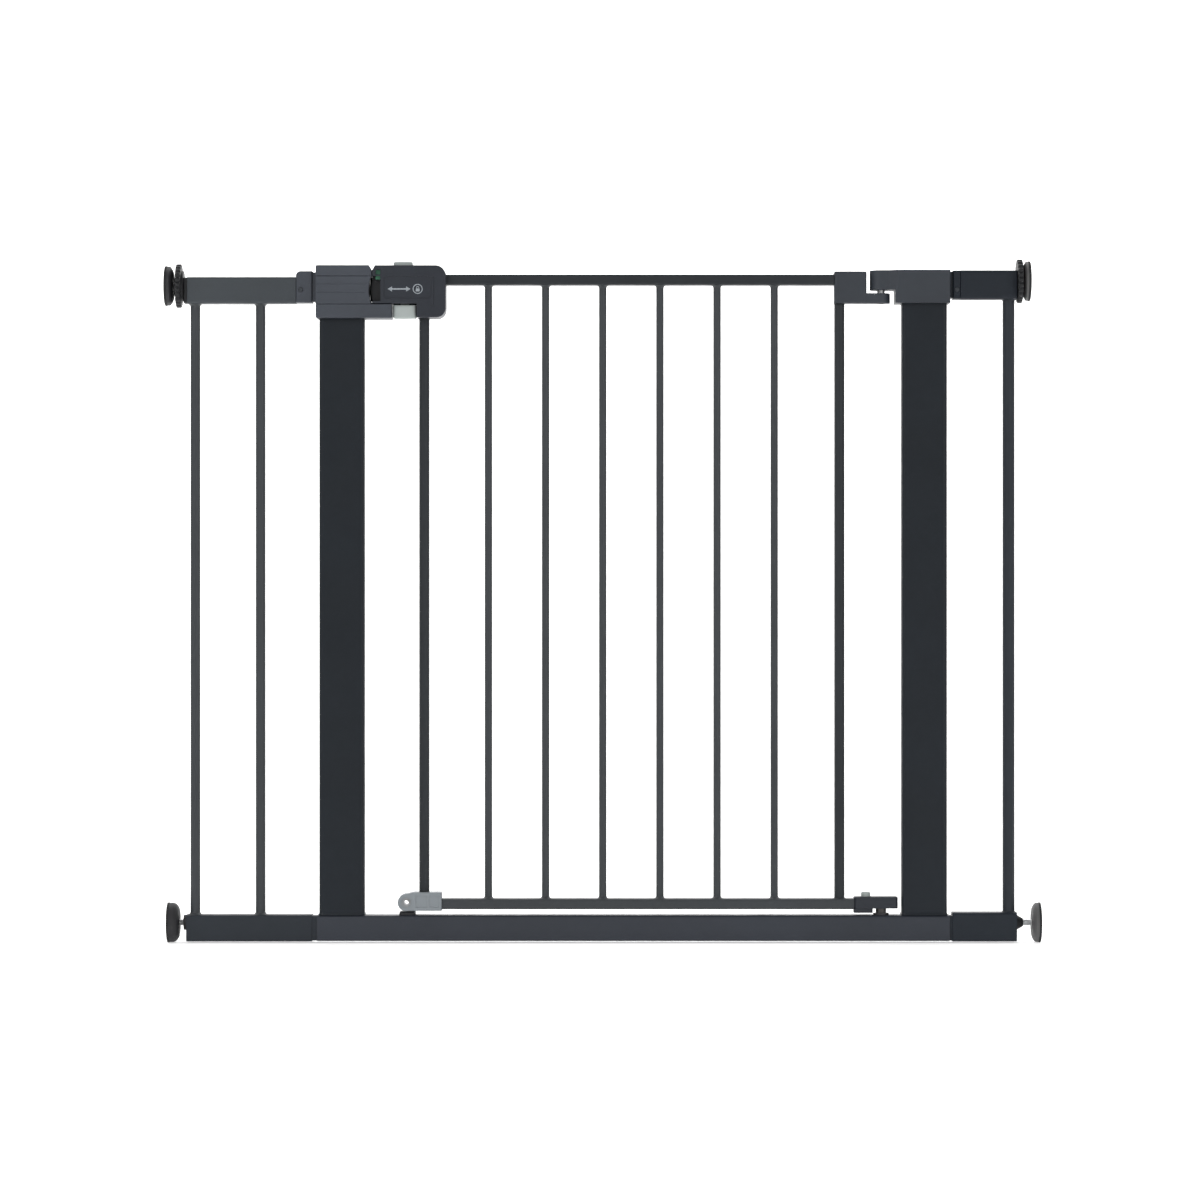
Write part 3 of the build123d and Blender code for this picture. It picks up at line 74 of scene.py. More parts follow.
# ---------------------------------------------------------------- materials
class Tree:
    """Short way to write a material's node tree."""

    def __init__(self, name):
        self.material = bpy.data.materials.new(name)
        self.material.use_nodes = True
        self.nodes = self.material.node_tree.nodes
        self.links = self.material.node_tree.links
        self.shader = self.nodes["Principled BSDF"]

    def node(self, kind, inputs=None, **settings):
        made = self.nodes.new(kind)
        for key, value in settings.items():
            setattr(made, key, value)
        for key, value in (inputs or {}).items():
            self.set(made.inputs[key], value)
        return made

    def set(self, socket, value):
        if isinstance(value, bpy.types.NodeSocket):
            self.links.new(value, socket)
        else:
            socket.default_value = value

    def noise(self, scale, detail=2.0, roughness=0.5, vector=None):
        inputs = {"Vector": vector or self.place(), "Scale": scale, "Detail": detail}
        inputs["Roughness"] = roughness
        return self.node("ShaderNodeTexNoise", inputs).outputs["Fac"]

    def place(self):
        if not hasattr(self, "coordinates"):
            self.coordinates = self.node("ShaderNodeTexCoord").outputs["Object"]
        return self.coordinates

    def stretched(self, scale):
        return self.node("ShaderNodeMapping", {"Vector": self.place(), "Scale": scale}).outputs["Vector"]

    def math(self, operation, a, b):
        return self.node("ShaderNodeMath", {0: a, 1: b}, operation=operation).outputs[0]

    def ramp(self, value, low, high, to_low=0.0, to_high=1.0):
        inputs = {"Value": value, "From Min": low, "From Max": high, "To Min": to_low, "To Max": to_high}
        return self.node("ShaderNodeMapRange", inputs, clamp=True).outputs["Result"]

    def mix(self, factor, a, b):
        """Colour mix; a colour mix node keeps its colours in sockets 6 and 7 and its result in 2."""
        return self.node("ShaderNodeMix", {"Factor": factor, 6: a, 7: b}, data_type="RGBA").outputs[2]

    def bump(self, height, strength, distance, normal=None):
        inputs = {"Height": height, "Strength": strength, "Distance": distance}
        made = self.node("ShaderNodeBump", inputs)
        if normal is not None:
            self.set(made.inputs["Normal"], normal)
        return made.outputs["Normal"]

    def edges(self, radius):
        """1 along sharp edges and 0 on flat faces, and the normal of the softened edge."""
        soft = self.node("ShaderNodeBevel", {"Radius": radius}, samples=6).outputs["Normal"]
        flat = self.node("ShaderNodeNewGeometry").outputs["True Normal"]
        dot = self.node("ShaderNodeVectorMath", {0: soft, 1: flat}, operation="DOT_PRODUCT")
        return self.ramp(dot.outputs["Value"], 0.995, 0.80), soft


TARNISH_COLOR = (0.33, 0.31, 0.28, 1.0)


def tone(color, factor):
    return (color[0] * factor, color[1] * factor, color[2] * factor, 1.0)


def coated_steel(name, color, gloss=0.4):
    """Powder coat: fine orange peel, faint cloudiness, and a thinner, lighter film over the edges."""
    t = Tree(name)
    cloud = t.ramp(t.noise(9.0, 4.0), 0.35, 0.65)
    speck = t.ramp(t.noise(1600.0, 1.0), 0.45, 0.75)
    edge, soft = t.edges(0.0009)
    chip = t.math("MULTIPLY", edge, t.ramp(t.noise(55.0, 6.0, 0.6), 0.46, 0.62))
    body = t.mix(cloud, tone(color, 0.90), tone(color, 1.12))
    body = t.mix(t.math("MULTIPLY", speck, 0.30), body, tone(color, 1.45))
    t.set(t.shader.inputs["Base Color"], t.mix(t.math("MULTIPLY", chip, 0.55), body, tone(color, 2.1)))
    grain = t.ramp(t.noise(38.0, 5.0), 0.3, 0.7, 0.40, 0.52)
    t.set(t.shader.inputs["Roughness"], t.math("SUBTRACT", grain, t.math("MULTIPLY", edge, 0.08)))
    t.set(t.shader.inputs["Specular IOR Level"], gloss)
    peel = t.bump(t.noise(620.0, 2.0), 0.22, 0.00025, soft)
    t.set(t.shader.inputs["Normal"], t.bump(t.noise(2600.0, 1.0), 0.12, 0.0001, peel))
    return t.material


def moulded_plastic(name, color, roughness=0.5, grain_depth=0.25, wear=1.0):
    """Moulded plastic with a spark-eroded grain, rubbed smoother and lighter on its edges."""
    t = Tree(name)
    cloud = t.ramp(t.noise(14.0, 4.0), 0.35, 0.65)
    edge, soft = t.edges(0.0007)
    rub = t.math("MULTIPLY", edge, t.ramp(t.noise(90.0, 5.0, 0.6), 0.38, 0.66))
    body = t.mix(cloud, tone(color, 0.92), tone(color, 1.08))
    rubbed = t.mix(t.math("MULTIPLY", rub, 0.35 * wear), body, tone(color, 1.9))
    t.set(t.shader.inputs["Base Color"], rubbed)
    smear = t.ramp(t.noise(26.0, 6.0, 0.55, t.stretched((1.0, 1.0, 0.35))), 0.3, 0.7)
    handled = t.ramp(smear, 0.0, 1.0, roughness - 0.05, roughness + 0.07)
    t.set(t.shader.inputs["Roughness"], t.math("SUBTRACT", handled, t.math("MULTIPLY", edge, 0.1)))
    t.set(t.shader.inputs["Specular IOR Level"], 0.38)
    coarse = t.bump(t.noise(1900.0, 3.0, 0.65), grain_depth, 0.00012, soft)
    t.set(t.shader.inputs["Normal"], t.bump(t.noise(180.0, 2.0), 0.05, 0.0002, coarse))
    return t.material


def rubber(name, color):
    """Matte rubber with a dusty bloom."""
    t = Tree(name)
    dust = t.ramp(t.noise(60.0, 6.0, 0.65), 0.42, 0.75)
    bloom = t.math("MULTIPLY", dust, 0.35)
    t.set(t.shader.inputs["Base Color"], t.mix(bloom, tone(color, 0.9), tone(color, 1.7)))
    t.set(t.shader.inputs["Roughness"], t.ramp(dust, 0.0, 1.0, 0.72, 0.9))
    t.set(t.shader.inputs["Specular IOR Level"], 0.3)
    t.set(t.shader.inputs["Normal"], t.bump(t.noise(1300.0, 3.0), 0.3, 0.00015))
    return t.material


def plated_metal(name, color, roughness=0.32):
    """Zinc plate: crystalline patches, fine turning marks and slight tarnish."""
    t = Tree(name)
    patch = t.node("ShaderNodeTexVoronoi", {"Vector": t.place(), "Scale": 420.0}).outputs["Color"]
    spangle = t.node("ShaderNodeSeparateColor", {0: patch}).outputs["Red"]
    tarnish = t.ramp(t.noise(75.0, 6.0, 0.6), 0.45, 0.75)
    body = t.mix(spangle, tone(color, 0.88), tone(color, 1.1))
    dull = t.mix(t.math("MULTIPLY", tarnish, 0.4), body, TARNISH_COLOR)
    t.set(t.shader.inputs["Base Color"], dull)
    t.set(t.shader.inputs["Metallic"], 1.0)
    t.set(t.shader.inputs["Roughness"], t.ramp(tarnish, 0.0, 1.0, roughness, roughness + 0.22))
    t.set(t.shader.inputs["Normal"], t.bump(t.noise(1500.0, 2.0), 0.12, 0.0001))
    return t.material


def printed_ink(name, color):
    """Pad-printed ink: thin, slightly uneven, a little worn."""
    t = Tree(name)
    worn = t.ramp(t.noise(700.0, 4.0, 0.6), 0.35, 0.6)
    t.set(t.shader.inputs["Base Color"], t.mix(worn, tone(color, 0.62), tone(color, 1.0)))
    t.set(t.shader.inputs["Roughness"], t.ramp(worn, 0.0, 1.0, 0.6, 0.42))
    t.set(t.shader.inputs["Normal"], t.bump(t.noise(2200.0, 2.0), 0.15, 0.00008))
    return t.material


MATERIALS = {
    "frame_steel": coated_steel("frame_steel", (0.012, 0.016, 0.022), 0.3),
    "door_steel": coated_steel("door_steel", (0.012, 0.015, 0.018), 0.31),
    "housing_plastic": moulded_plastic("housing_plastic", (0.038, 0.044, 0.056)),
    "handle_plastic": moulded_plastic("handle_plastic", (0.012, 0.015, 0.022), 0.46),
    "black_plastic": moulded_plastic("black_plastic", (0.004, 0.0045, 0.006), 0.5, 0.2),
    "light_plastic": moulded_plastic("light_plastic", (0.34, 0.375, 0.365), 0.44, 0.15, 0.3),
    "bracket_plastic": moulded_plastic("bracket_plastic", (0.19, 0.21, 0.225), 0.45, 0.2, 0.6),
    "indicator_green": moulded_plastic("indicator_green", (0.03, 0.12, 0.07), 0.4, 0.1, 0.4),
    "cup_plastic": moulded_plastic("cup_plastic", (0.013, 0.013, 0.015), 0.55),
    "pad_rubber": rubber("pad_rubber", (0.017, 0.017, 0.018)),
    "zinc_steel": plated_metal("zinc_steel", (0.62, 0.63, 0.64)),
}
# pieces given their own tone: most are darker or lighter than the rest of their slot in coat or batch; the
# right-hand rails and connectors get a darker copy that paints shade on the right side, and the right wall
# cups a lighter copy that paints light on them
POST_STEEL = coated_steel("post_steel", (0.005, 0.008, 0.012), 0.25)
RAIL_STEEL = coated_steel("rail_steel", (0.030, 0.036, 0.042))
SILL_STEEL = coated_steel("sill_steel", (0.017, 0.021, 0.030))
BRACKET_PLASTIC = moulded_plastic("hinge_plastic", (0.024, 0.029, 0.037))
# painted light: a lighter copy of the cup plastic for the right wall cups, standing in for the light that
# falls on the right side
RIGHT_CUP_PAINTED_LIGHT = moulded_plastic("right_cup_painted_light", (0.080, 0.080, 0.080), 0.55)
BAR_STEEL = coated_steel("bar_steel", (0.026, 0.030, 0.034))
DARK_STEEL = plated_metal("dark_steel", (0.045, 0.045, 0.05), 0.45)
RIVET_STEEL = plated_metal("rivet_steel", (0.24, 0.25, 0.26), 0.4)
DARK_SCREW = coated_steel("dark_screw", (0.020, 0.024, 0.030))
# painted shade: a darker copy of the frame steel for the rails and connectors on the right side, standing
# in for the shade there
RIGHT_PAINTED_SHADE_STEEL = coated_steel("right_rail_painted_shade", (0.007, 0.011, 0.017), 0.27)
OWN_MATERIAL = {
    "left_post": POST_STEEL,
    "right_post": POST_STEEL,
    "left_extension_top_rail": RAIL_STEEL,
    "threshold_rail": SILL_STEEL,
    "hinge_bracket_front": BRACKET_PLASTIC,
    "hinge_bracket_rear": BRACKET_PLASTIC,
    "upper_hinge_arm": BRACKET_PLASTIC,
    "right_extension_top_rail": RIGHT_PAINTED_SHADE_STEEL,
    "right_extension_bottom_rail": RIGHT_PAINTED_SHADE_STEEL,
    "right_connector_upper": RIGHT_PAINTED_SHADE_STEEL,
    "left_connector_lower": MATERIALS["frame_steel"],
    "right_connector_lower": RIGHT_PAINTED_SHADE_STEEL,
    "door_bars": BAR_STEEL,
    "door_bottom_rail": BAR_STEEL,
    "left_extension_bars": BAR_STEEL,
    "lower_hinge_pin": DARK_STEEL,
    "bracket_rivet": RIVET_STEEL,
    "connector_screws": DARK_SCREW,
    "upper_right_wall_cup": RIGHT_CUP_PAINTED_LIGHT,
    "lower_right_wall_cup": RIGHT_CUP_PAINTED_LIGHT,
}
INK = printed_ink("mark_ink", (0.30, 0.33, 0.36))

for part in frame["record"]["subparts"]:
    cad_object = frame["nodes"][part["node"]]
    finish = OWN_MATERIAL.get(part["node"], MATERIALS[part["material_slot"]])
    for place in cad_object.material_slots:
        place.material = finish


# ---------------------------------------------------------------- mesh helpers
def mesh_piece(name, bm, material, body, smooth_degrees=35.0):
    """Turns a bmesh into a named piece that rides on a body."""
    bmesh.ops.recalc_face_normals(bm, faces=bm.faces)
    data = bpy.data.meshes.new(name)
    bm.to_mesh(data)
    bm.free()
    piece = bpy.data.objects.new(name, data)
    bpy.context.collection.objects.link(piece)
    data.materials.append(material)
    for face in data.polygons:
        face.use_smooth = True
    data.set_sharp_from_angle(angle=math.radians(smooth_degrees))
    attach(piece, body)
    return piece


def rings_to_faces(bm, rings):
    """Skins a list of vertex rings of equal length and closes both ends."""
    for first, second in zip(rings, rings[1:]):
        count = len(first)
        for i in range(count):
            j = (i + 1) % count
            bm.faces.new((first[i], first[j], second[j], second[i]))
    bm.faces.new(rings[0])
    bm.faces.new(rings[-1])


def round_box(node):
    """Low and high corner of a node turned about an axis along X, its axis (y, z) and its radius."""
    low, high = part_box(node)
    axis = ((low[1] + high[1]) / 2, (low[2] + high[2]) / 2)
    return low, high, axis, (high[2] - low[2]) / 2


def on_circle(x, axis, radius, angle):
    """Point at a radius and angle about an axis along X through (y, z)."""
    return (x, axis[0] + radius * math.cos(angle), axis[1] + radius * math.sin(angle))


# ---------------------------------------------------------------- threaded spindles
THREAD_PITCH = 1.5 * MM
THREAD_DEPTH = 0.55 * MM
THREAD_FULLNESS = 0.8         # below 1 the valley is wider than the crest
THREAD_SIDES = 28
RINGS_PER_TURN = 8
LEAD_IN = 1.2 * MM


def threaded_spindle(corner):
    """A rod with a rounded rolled thread, in the place of the plain CAD rod."""
    low, high, axis, _ = round_box(f"{corner}_spindle")
    radius = (high[1] - low[1]) / 2
    inner_x, outer_x = (high[0], low[0]) if corner.endswith("left") else (low[0], high[0])
    length = abs(outer_x - inner_x)
    direction = 1 if outer_x > inner_x else -1
    bm = bmesh.new()
    rings = []
    steps = int(length / THREAD_PITCH * RINGS_PER_TURN)
    for step in range(steps + 1):
        along = length * step / steps
        taper = min(1.0, along / LEAD_IN)
        ring = []
        for side in range(THREAD_SIDES):
            phase = (along / THREAD_PITCH - side / THREAD_SIDES) % 1.0
            groove = THREAD_DEPTH * (0.5 + 0.5 * math.cos(FULL_TURN * phase)) ** THREAD_FULLNESS
            r = radius - THREAD_DEPTH * (1 - taper) - groove * taper
            place = on_circle(inner_x + direction * along, axis, r, FULL_TURN * side / THREAD_SIDES)
            ring.append(bm.verts.new(place))
        rings.append(ring)
    rings_to_faces(bm, rings)
    name = f"{corner}_threaded_spindle"
    piece = mesh_piece(name, bm, MATERIALS["zinc_steel"], SPINDLE_BODY[corner], 50.0)
    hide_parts(f"{corner}_spindle")


for corner in WALL_CORNERS:
    threaded_spindle(corner)


# ---------------------------------------------------------------- latch spring
SPRING_WIRE_RADIUS = 0.45 * MM
SPRING_TURNS = 6.5
CLOSED_TURNS = 0.75           # turns at each end that lie against their neighbour
CLOSED_PITCH = 2.04 * SPRING_WIRE_RADIUS
SPRING_STEPS = 182
SPRING_SIDES = 10


def coil_spring():
    """Coil spring with closed ends."""
    low, high, axis, radius = round_box("latch_spring")
    coil_radius = radius - SPRING_WIRE_RADIUS
    full = high[0] - low[0]
    open_turns = SPRING_TURNS - 2 * CLOSED_TURNS
    open_length = full - 2 * SPRING_WIRE_RADIUS - 2 * CLOSED_TURNS * CLOSED_PITCH
    bm = bmesh.new()
    rings = []
    for step in range(SPRING_STEPS + 1):
        turn = SPRING_TURNS * step / SPRING_STEPS
        opened = min(max(turn - CLOSED_TURNS, 0.0), open_turns)
        along = CLOSED_PITCH * (turn - opened) + open_length * opened / open_turns
        ring = []
        for side in range(SPRING_SIDES):
            angle = FULL_TURN * side / SPRING_SIDES
            x = low[0] + SPRING_WIRE_RADIUS + along + SPRING_WIRE_RADIUS * math.sin(angle)
            r = coil_radius + SPRING_WIRE_RADIUS * math.cos(angle)
            ring.append(bm.verts.new(on_circle(x, axis, r, FULL_TURN * turn)))
        rings.append(ring)
    rings_to_faces(bm, rings)
    piece = mesh_piece("coil_spring", bm, MATERIALS["zinc_steel"], "door", 50.0)
    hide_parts("latch_spring")
    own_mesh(piece)


coil_spring()


# ---------------------------------------------------------------- turned pieces
def lathe(bm, profile, axis, sides, closed=False, ribs=0, rib_depth=0.0):
    """Turns (x, radius, rib weight) points about an axis along X through (y, z)."""
    rings = []
    for x, radius, weight in profile:
        if radius == 0.0:
            rings.append([bm.verts.new((x, axis[0], axis[1]))])
            continue
        ring = []
        for side in range(sides):
            angle = FULL_TURN * side / sides
            groove = (0.5 - 0.5 * math.cos(ribs * angle)) ** 2
            place = on_circle(x, axis, radius - rib_depth * weight * groove, angle)
            ring.append(bm.verts.new(place))
        rings.append(ring)
    pairs = list(zip(rings, rings[1:]))
    if closed:
        pairs.append((rings[-1], rings[0]))
    for first, second in pairs:
        for i in range(sides):
            j = (i + 1) % sides
            if len(first) == 1:
                bm.faces.new((first[0], second[j], second[i]))
            elif len(second) == 1:
                bm.faces.new((first[i], first[j], second[0]))
            else:
                bm.faces.new((first[i], first[j], second[j], second[i]))


ROUND_STEPS = 5


def quarter_out(x, radius, dx, dr):
    """Quarter-round points that leave a flat face at (x, radius) and end on the rim."""
    angles = [math.pi / 2 * step / ROUND_STEPS for step in range(ROUND_STEPS + 1)]
    return [(x + dx * (1 - math.cos(a)), radius + dr * math.sin(a)) for a in angles]


def quarter_in(x, radius, dx, dr):
    """Quarter-round points that leave the rim at (x, radius) and end on a flat face."""
    angles = [math.pi / 2 * step / ROUND_STEPS for step in range(ROUND_STEPS + 1)]
    return [(x + dx * math.sin(a), radius + dr * (1 - math.cos(a))) for a in angles]


PAD_SIDES = 72
PAD_BACK_ROUND = 0.7 * MM
PAD_WALL_ROUND = 1.0 * MM
PAD_MID_SHARE = 0.5           # ring of points on the back, at this share of the radius
PAD_CENTRE_RADIUS = 2.0 * MM
RIB_EDGE_INSET = 2.2 * MM     # first groove, in from the rim
RIB_LAST_RADIUS = 4.5 * MM
RIB_GROOVE_DEPTH = 0.5 * MM
RIB_GROOVE_WIDTH = 1.25 * MM
RIB_GROOVE_SLOPE = 0.35 * MM
RIB_LAND = 2.6 * MM


def wall_pad(corner):
    """Soft rubber pad with concentric ribs on the side that presses on the wall."""
    low, high, axis, radius = round_box(f"{corner}_wall_pad")
    outward = -1 if corner.endswith("left") else 1
    wall, back = (low[0], high[0]) if outward < 0 else (high[0], low[0])
    rim_end = wall - outward * PAD_WALL_ROUND
    groove_floor = wall - outward * RIB_GROOVE_DEPTH
    profile = [(back, 0.0), (back, radius * PAD_MID_SHARE)]
    profile += quarter_out(back, radius - PAD_BACK_ROUND, outward * PAD_BACK_ROUND, PAD_BACK_ROUND)
    profile += quarter_in(rim_end, radius, outward * PAD_WALL_ROUND, -PAD_WALL_ROUND)
    r = radius - RIB_EDGE_INSET
    while r > RIB_LAST_RADIUS:
        inner = r - RIB_GROOVE_WIDTH
        profile += [(wall, r), (groove_floor, r - RIB_GROOVE_SLOPE)]
        profile += [(groove_floor, inner + RIB_GROOVE_SLOPE), (wall, inner)]
        r = inner - RIB_LAND
    profile += [(wall, PAD_CENTRE_RADIUS), (wall, 0.0)]
    bm = bmesh.new()
    lathe(bm, [(x, r, 0.0) for x, r in profile], axis, PAD_SIDES)
    name = f"{corner}_ribbed_pad"
    piece = mesh_piece(name, bm, MATERIALS["pad_rubber"], MOUNT_BODY[corner], 40.0)
    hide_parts(f"{corner}_wall_pad")


WHEEL_SIDES = 192
WHEEL_RIBS = 24
WHEEL_RIB_DEPTH = 1.7 * MM
WHEEL_RIM_WIDTH = 5.6 * MM
WHEEL_EDGE = 1.1 * MM         # bevel at both edges of the rim
WHEEL_BORE_GAP = 0.05 * MM
WHEEL_COLLAR_RADIUS = 16.0 * MM
WHEEL_COLLAR_BEVEL = 0.6 * MM
WHEEL_BACK_RADIUS = 17.5 * MM
WHEEL_RIB_FADE = 1.6 * MM     # the ribs fade out over this width on both faces
WHEEL_RIM_FACE = 4.2 * MM
WHEEL_DISH_DEPTH = 1.6 * MM
WHEEL_DISH_STEP = 0.5 * MM
WHEEL_BOSS_RADIUS = 7.2 * MM
WHEEL_BORE_BEVEL = 0.4 * MM
WHEEL_COLLAR_LEAST = 0.5 * MM  # a shorter collar is left out
RIM_KNEE_X, RIM_KNEE_RADIUS = 0.4, 0.25
RIM_FADE_WEIGHT = 0.4         # depth of the ribs where they start to fade
DISH_RIM_SLOPE, DISH_RIM_FOOT = 0.3 * MM, 1.0 * MM
DISH_BOSS_SLOPE, DISH_BOSS_FOOT = 0.2 * MM, 0.8 * MM
WHEEL_BOSS_ROUND = 0.5 * MM


def tension_wheel(side):
    """Hand wheel with soft finger ribs round its rim and a dished outer face."""
    low, high, axis, radius = round_box(f"{side}_tension_wheel")
    outward = -1 if side == "left" else 1
    inner, outer = (high[0], low[0]) if outward < 0 else (low[0], high[0])
    bore = round_box(f"upper_{side}_spindle")[3] + WHEEL_BORE_GAP
    rim = outer - outward * WHEEL_RIM_WIDTH
    dish = outer - outward * WHEEL_DISH_DEPTH
    step = outward * WHEEL_DISH_STEP
    edge = outward * WHEEL_EDGE
    knee = edge * RIM_KNEE_X
    knee_radius = radius - WHEEL_EDGE * RIM_KNEE_RADIUS
    face_radius = radius - WHEEL_EDGE
    faded = face_radius - WHEEL_RIB_FADE
    dish_radius = radius - WHEEL_RIM_FACE
    profile = [(inner, bore, 0.0)]
    if abs(inner - rim) > WHEEL_COLLAR_LEAST:
        profile += [(inner, WHEEL_COLLAR_RADIUS - WHEEL_COLLAR_BEVEL, 0.0)]
        profile += [(inner + outward * WHEEL_COLLAR_BEVEL, WHEEL_COLLAR_RADIUS, 0.0)]
        profile += [(rim, WHEEL_COLLAR_RADIUS, 0.0)]
    profile += [(rim, WHEEL_BACK_RADIUS, 0.0), (rim, faded, RIM_FADE_WEIGHT), (rim, face_radius, 1.0)]
    profile += [(rim + knee, knee_radius, 1.0), (rim + edge, radius, 1.0)]
    profile += [(outer - edge, radius, 1.0), (outer - knee, knee_radius, 1.0)]
    profile += [(outer, face_radius, 1.0), (outer, faded, RIM_FADE_WEIGHT), (outer, dish_radius, 0.0)]
    profile += [(dish + step, dish_radius - DISH_RIM_SLOPE, 0.0), (dish, dish_radius - DISH_RIM_FOOT, 0.0)]
    profile += [(dish, WHEEL_BOSS_RADIUS + DISH_BOSS_FOOT, 0.0)]
    profile += [(dish + step, WHEEL_BOSS_RADIUS + DISH_BOSS_SLOPE, 0.0)]
    profile += [(outer - outward * WHEEL_BORE_BEVEL, WHEEL_BOSS_RADIUS, 0.0)]
    profile += [(outer, WHEEL_BOSS_RADIUS - WHEEL_BOSS_ROUND, 0.0), (outer, bore + WHEEL_BORE_BEVEL, 0.0)]
    profile += [(outer - outward * WHEEL_BORE_BEVEL, bore, 0.0)]
    bm = bmesh.new()
    lathe(bm, profile, axis, WHEEL_SIDES, closed=True, ribs=WHEEL_RIBS, rib_depth=WHEEL_RIB_DEPTH)
    name = f"{side}_ribbed_wheel"
    piece = mesh_piece(name, bm, MATERIALS["black_plastic"], f"{side}_wheel", 38.0)
    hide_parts(f"{side}_tension_wheel")


for corner in WALL_CORNERS:
    wall_pad(corner)
for side in ("left", "right"):
    tension_wheel(side)


# ---------------------------------------------------------------- printed marks on the handle
RING_COUNT = 64
RING_OUTER, RING_INNER = 5.2 * MM, 4.3 * MM
BOW_COUNT = 17
BOW_OUTER, BOW_INNER = 1.5 * MM, 0.9 * MM
BOW_LEG = 0.9 * MM
LOCK_HALF_WIDTH, LOCK_HALF_HEIGHT = 2.0 * MM, 1.5 * MM
LOCK_DROP = 1.1 * MM
ARROW_HALF, ARROW_HEAD = 12.0 * MM, 4.6 * MM
ARROW_SHAFT, ARROW_BARB = 0.75 * MM, 2.7 * MM
PANEL_DEPTH = 0.7 * MM        # the inset panel lies this far behind the shell's face
INK_ABOVE, INK_BELOW = 0.06 * MM, 0.02 * MM
MARK_HEIGHT = 29.8 * MM       # above the shell's lower edge
RING_FROM_RIGHT = 29.3 * MM
ARROW_FROM_RIGHT = 48.8 * MM


def flat_strip(bm, outer, inner, front, back, closed=True):
    """Raised band between two matching outlines in the X-Z plane."""
    count = len(outer)
    rows = [[bm.verts.new((x, y, z)) for x, z in line] for y in (front, back) for line in (outer, inner)]
    steps = count if closed else count - 1
    for i in range(steps):
        j = (i + 1) % count
        bm.faces.new((rows[0][i], rows[0][j], rows[1][j], rows[1][i]))
        bm.faces.new((rows[2][i], rows[3][i], rows[3][j], rows[2][j]))
        bm.faces.new((rows[0][i], rows[2][i], rows[2][j], rows[0][j]))
        bm.faces.new((rows[1][i], rows[1][j], rows[3][j], rows[3][i]))
    if not closed:
        for i in (0, count - 1):
            bm.faces.new((rows[0][i], rows[1][i], rows[3][i], rows[2][i]))


def flat_shape(bm, outline, front, back):
    """Raised flat shape with an outline in the X-Z plane."""
    face = [bm.verts.new((x, front, z)) for x, z in outline]
    rear = [bm.verts.new((x, back, z)) for x, z in outline]
    bm.faces.new(face)
    bm.faces.new(rear)
    for i in range(len(outline)):
        j = (i + 1) % len(outline)
        bm.faces.new((face[i], face[j], rear[j], rear[i]))


def arc_points(x, z, radius, start, end, count):
    step = (end - start) / (count - 1)
    angles = [math.radians(start + step * i) for i in range(count)]
    return [(x + radius * math.cos(a), z + radius * math.sin(a)) for a in angles]


def ring_points(x, z, radius):
    return arc_points(x, z, radius, 0.0, 360.0 - 360.0 / RING_COUNT, RING_COUNT)


def bow_points(x, z, radius):
    """The padlock's bow: a half circle that stands on two short legs."""
    arc = arc_points(x, z + BOW_LEG, radius, 0, 180, BOW_COUNT)
    return [(x + radius, z)] + arc + [(x - radius, z)]


def padlock(bm, x, z, front, back):
    low, top = z - LOCK_HALF_HEIGHT, z + LOCK_HALF_HEIGHT
    left, right = x - LOCK_HALF_WIDTH, x + LOCK_HALF_WIDTH
    flat_shape(bm, [(left, low), (right, low), (right, top), (left, top)], front, back)
    flat_strip(bm, bow_points(x, top, BOW_OUTER), bow_points(x, top, BOW_INNER), front, back, closed=False)


def two_way_arrow(bm, x, z, front, back):
    left, right = x - ARROW_HALF + ARROW_HEAD, x + ARROW_HALF - ARROW_HEAD
    outline = [(x - ARROW_HALF, z), (left, z + ARROW_BARB), (left, z + ARROW_SHAFT)]
    outline += [(right, z + ARROW_SHAFT), (right, z + ARROW_BARB), (x + ARROW_HALF, z)]
    outline += [(right, z - ARROW_BARB), (right, z - ARROW_SHAFT)]
    outline += [(left, z - ARROW_SHAFT), (left, z - ARROW_BARB)]
    flat_shape(bm, outline, front, back)


def handle_marks():
    """A padlock in a ring, and a two-way arrow for a gate that opens both ways."""
    low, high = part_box("handle_front_shell")
    panel = low[1] + PANEL_DEPTH
    front, back = panel - INK_ABOVE, panel + INK_BELOW
    x, z = high[0] - RING_FROM_RIGHT, low[2] + MARK_HEIGHT
    bm = bmesh.new()
    flat_strip(bm, ring_points(x, z, RING_OUTER), ring_points(x, z, RING_INNER), front, back)
    padlock(bm, x, z - LOCK_DROP, front, back)
    two_way_arrow(bm, high[0] - ARROW_FROM_RIGHT, z, front, back)
    mesh_piece("handle_marks", bm, INK, "door", 30.0)


handle_marks()


# ---------------------------------------------------------------- camera, floor and light
def aim(thing, target):
    thing.rotation_euler = (Vector(target) - thing.location).to_track_quat("-Z", "Y").to_euler()


def area_light(name, place, target, size, energy):
    data = bpy.data.lights.new(name, "AREA")
    data.shape = "RECTANGLE"
    data.size, data.size_y = size
    data.energy = energy
    light = bpy.data.objects.new(name, data)
    bpy.context.collection.objects.link(light)
    light.location = place
    aim(light, target)


EYE_HEIGHT = 0.3594
EYE_X = -0.0029
EYE_DISTANCE = 4.5
FRAME_WIDTH = 1.26
SENSOR = 36.0

camera_data = bpy.data.cameras.new("camera")
camera_data.sensor_width = SENSOR
camera_data.lens = SENSOR * EYE_DISTANCE / FRAME_WIDTH
camera_data.clip_end = 50.0
camera = bpy.data.objects.new("camera", camera_data)
bpy.context.collection.objects.link(camera)
camera.location = (EYE_X, -EYE_DISTANCE, EYE_HEIGHT)
camera.rotation_euler = (math.radians(90), 0, 0)
bpy.context.scene.camera = camera


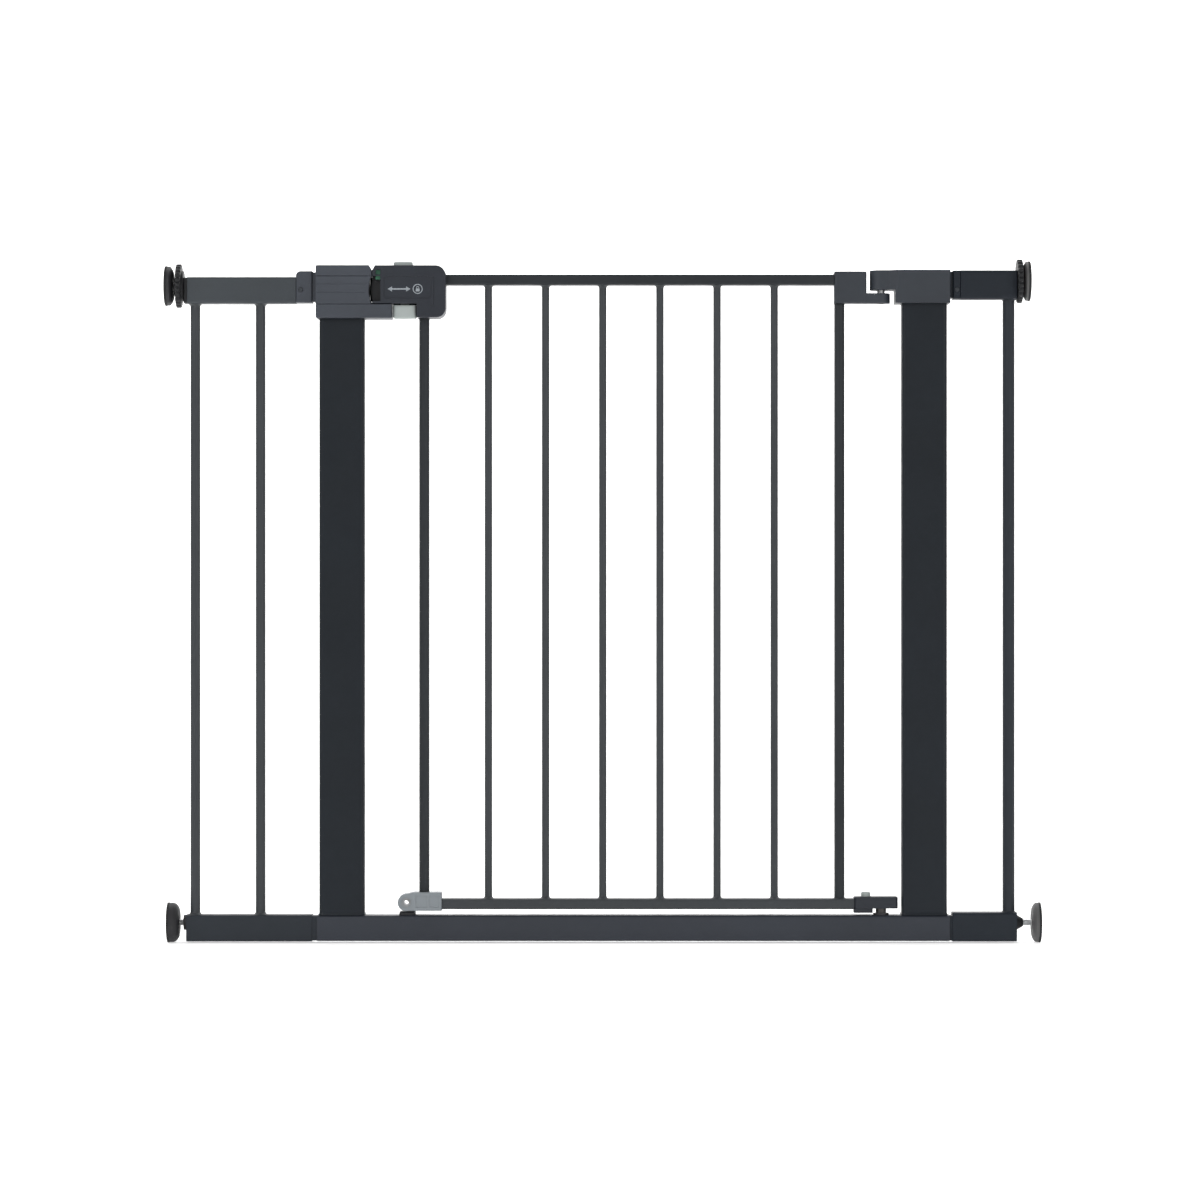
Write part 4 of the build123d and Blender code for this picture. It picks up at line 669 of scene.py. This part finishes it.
FLOOR_HALF_WIDTH = 16.0
FLOOR_FRONT = -20.0
BACKDROP_Y = 2.6
BACKDROP_TOP = 6.0
BACKDROP_CURVE = 1.6
CURVE_STEPS = 16
PAPER_GLOW = 0.45
WORLD_STRENGTH = 0.45
WHITE = (1.0, 1.0, 1.0, 1.0)
PAPER_TONES = ((0.86, 0.86, 0.86, 1.0), (0.90, 0.90, 0.90, 1.0))


def studio_floor():
    """Pale floor that curves up into a pale backdrop, which is clear when seen from its rear side."""
    bm = bmesh.new()
    curve_start = BACKDROP_Y - BACKDROP_CURVE
    profile = [(FLOOR_FRONT, 0.0), (curve_start, 0.0)]
    for step in range(1, CURVE_STEPS + 1):
        angle = math.pi / 2 * step / CURVE_STEPS
        y = curve_start + BACKDROP_CURVE * math.sin(angle)
        profile.append((y, BACKDROP_CURVE - BACKDROP_CURVE * math.cos(angle)))
    profile.append((BACKDROP_Y, BACKDROP_TOP))
    rows = [[bm.verts.new((x, y, z)) for x in (-FLOOR_HALF_WIDTH, FLOOR_HALF_WIDTH)] for y, z in profile]
    for low, high in zip(rows, rows[1:]):
        bm.faces.new((low[0], low[1], high[1], high[0]))
    data = bpy.data.meshes.new("studio_floor")
    bm.to_mesh(data)
    bm.free()
    floor = bpy.data.objects.new("studio_floor", data)
    bpy.context.collection.objects.link(floor)
    for face in data.polygons:
        face.use_smooth = True
    t = Tree("studio_paper")
    t.set(t.shader.inputs["Base Color"], t.mix(t.noise(1.5), *PAPER_TONES))
    t.set(t.shader.inputs["Roughness"], 0.85)
    t.set(t.shader.inputs["Emission Color"], WHITE)
    t.set(t.shader.inputs["Emission Strength"], PAPER_GLOW)
    rear_side = t.node("ShaderNodeNewGeometry").outputs["Backfacing"]
    clear = t.node("ShaderNodeBsdfTransparent").outputs["BSDF"]
    inputs = {0: rear_side, 1: t.shader.outputs["BSDF"], 2: clear}
    one_sided = t.node("ShaderNodeMixShader", inputs).outputs["Shader"]
    t.set(t.nodes["Material Output"].inputs["Surface"], one_sided)
    data.materials.append(t.material)


studio_floor()
world = bpy.data.worlds.new("studio")
world.use_nodes = True
world.node_tree.nodes["Background"].inputs["Color"].default_value = WHITE
world.node_tree.nodes["Background"].inputs["Strength"].default_value = WORLD_STRENGTH
bpy.context.scene.world = world
bpy.context.scene.view_settings.view_transform = "Standard"
area_light("key_light", (-2.2, -3.2, 2.6), (0, 0, 0.4), (1.6, 1.6), 60.0)
area_light("fill_light", (2.6, -3.4, 1.4), (0, 0, 0.35), (2.2, 2.2), 30.0)
area_light("backdrop_light", (0, 0.9, 2.4), (0, 2.6, 0.6), (3.5, 1.2), 60.0)
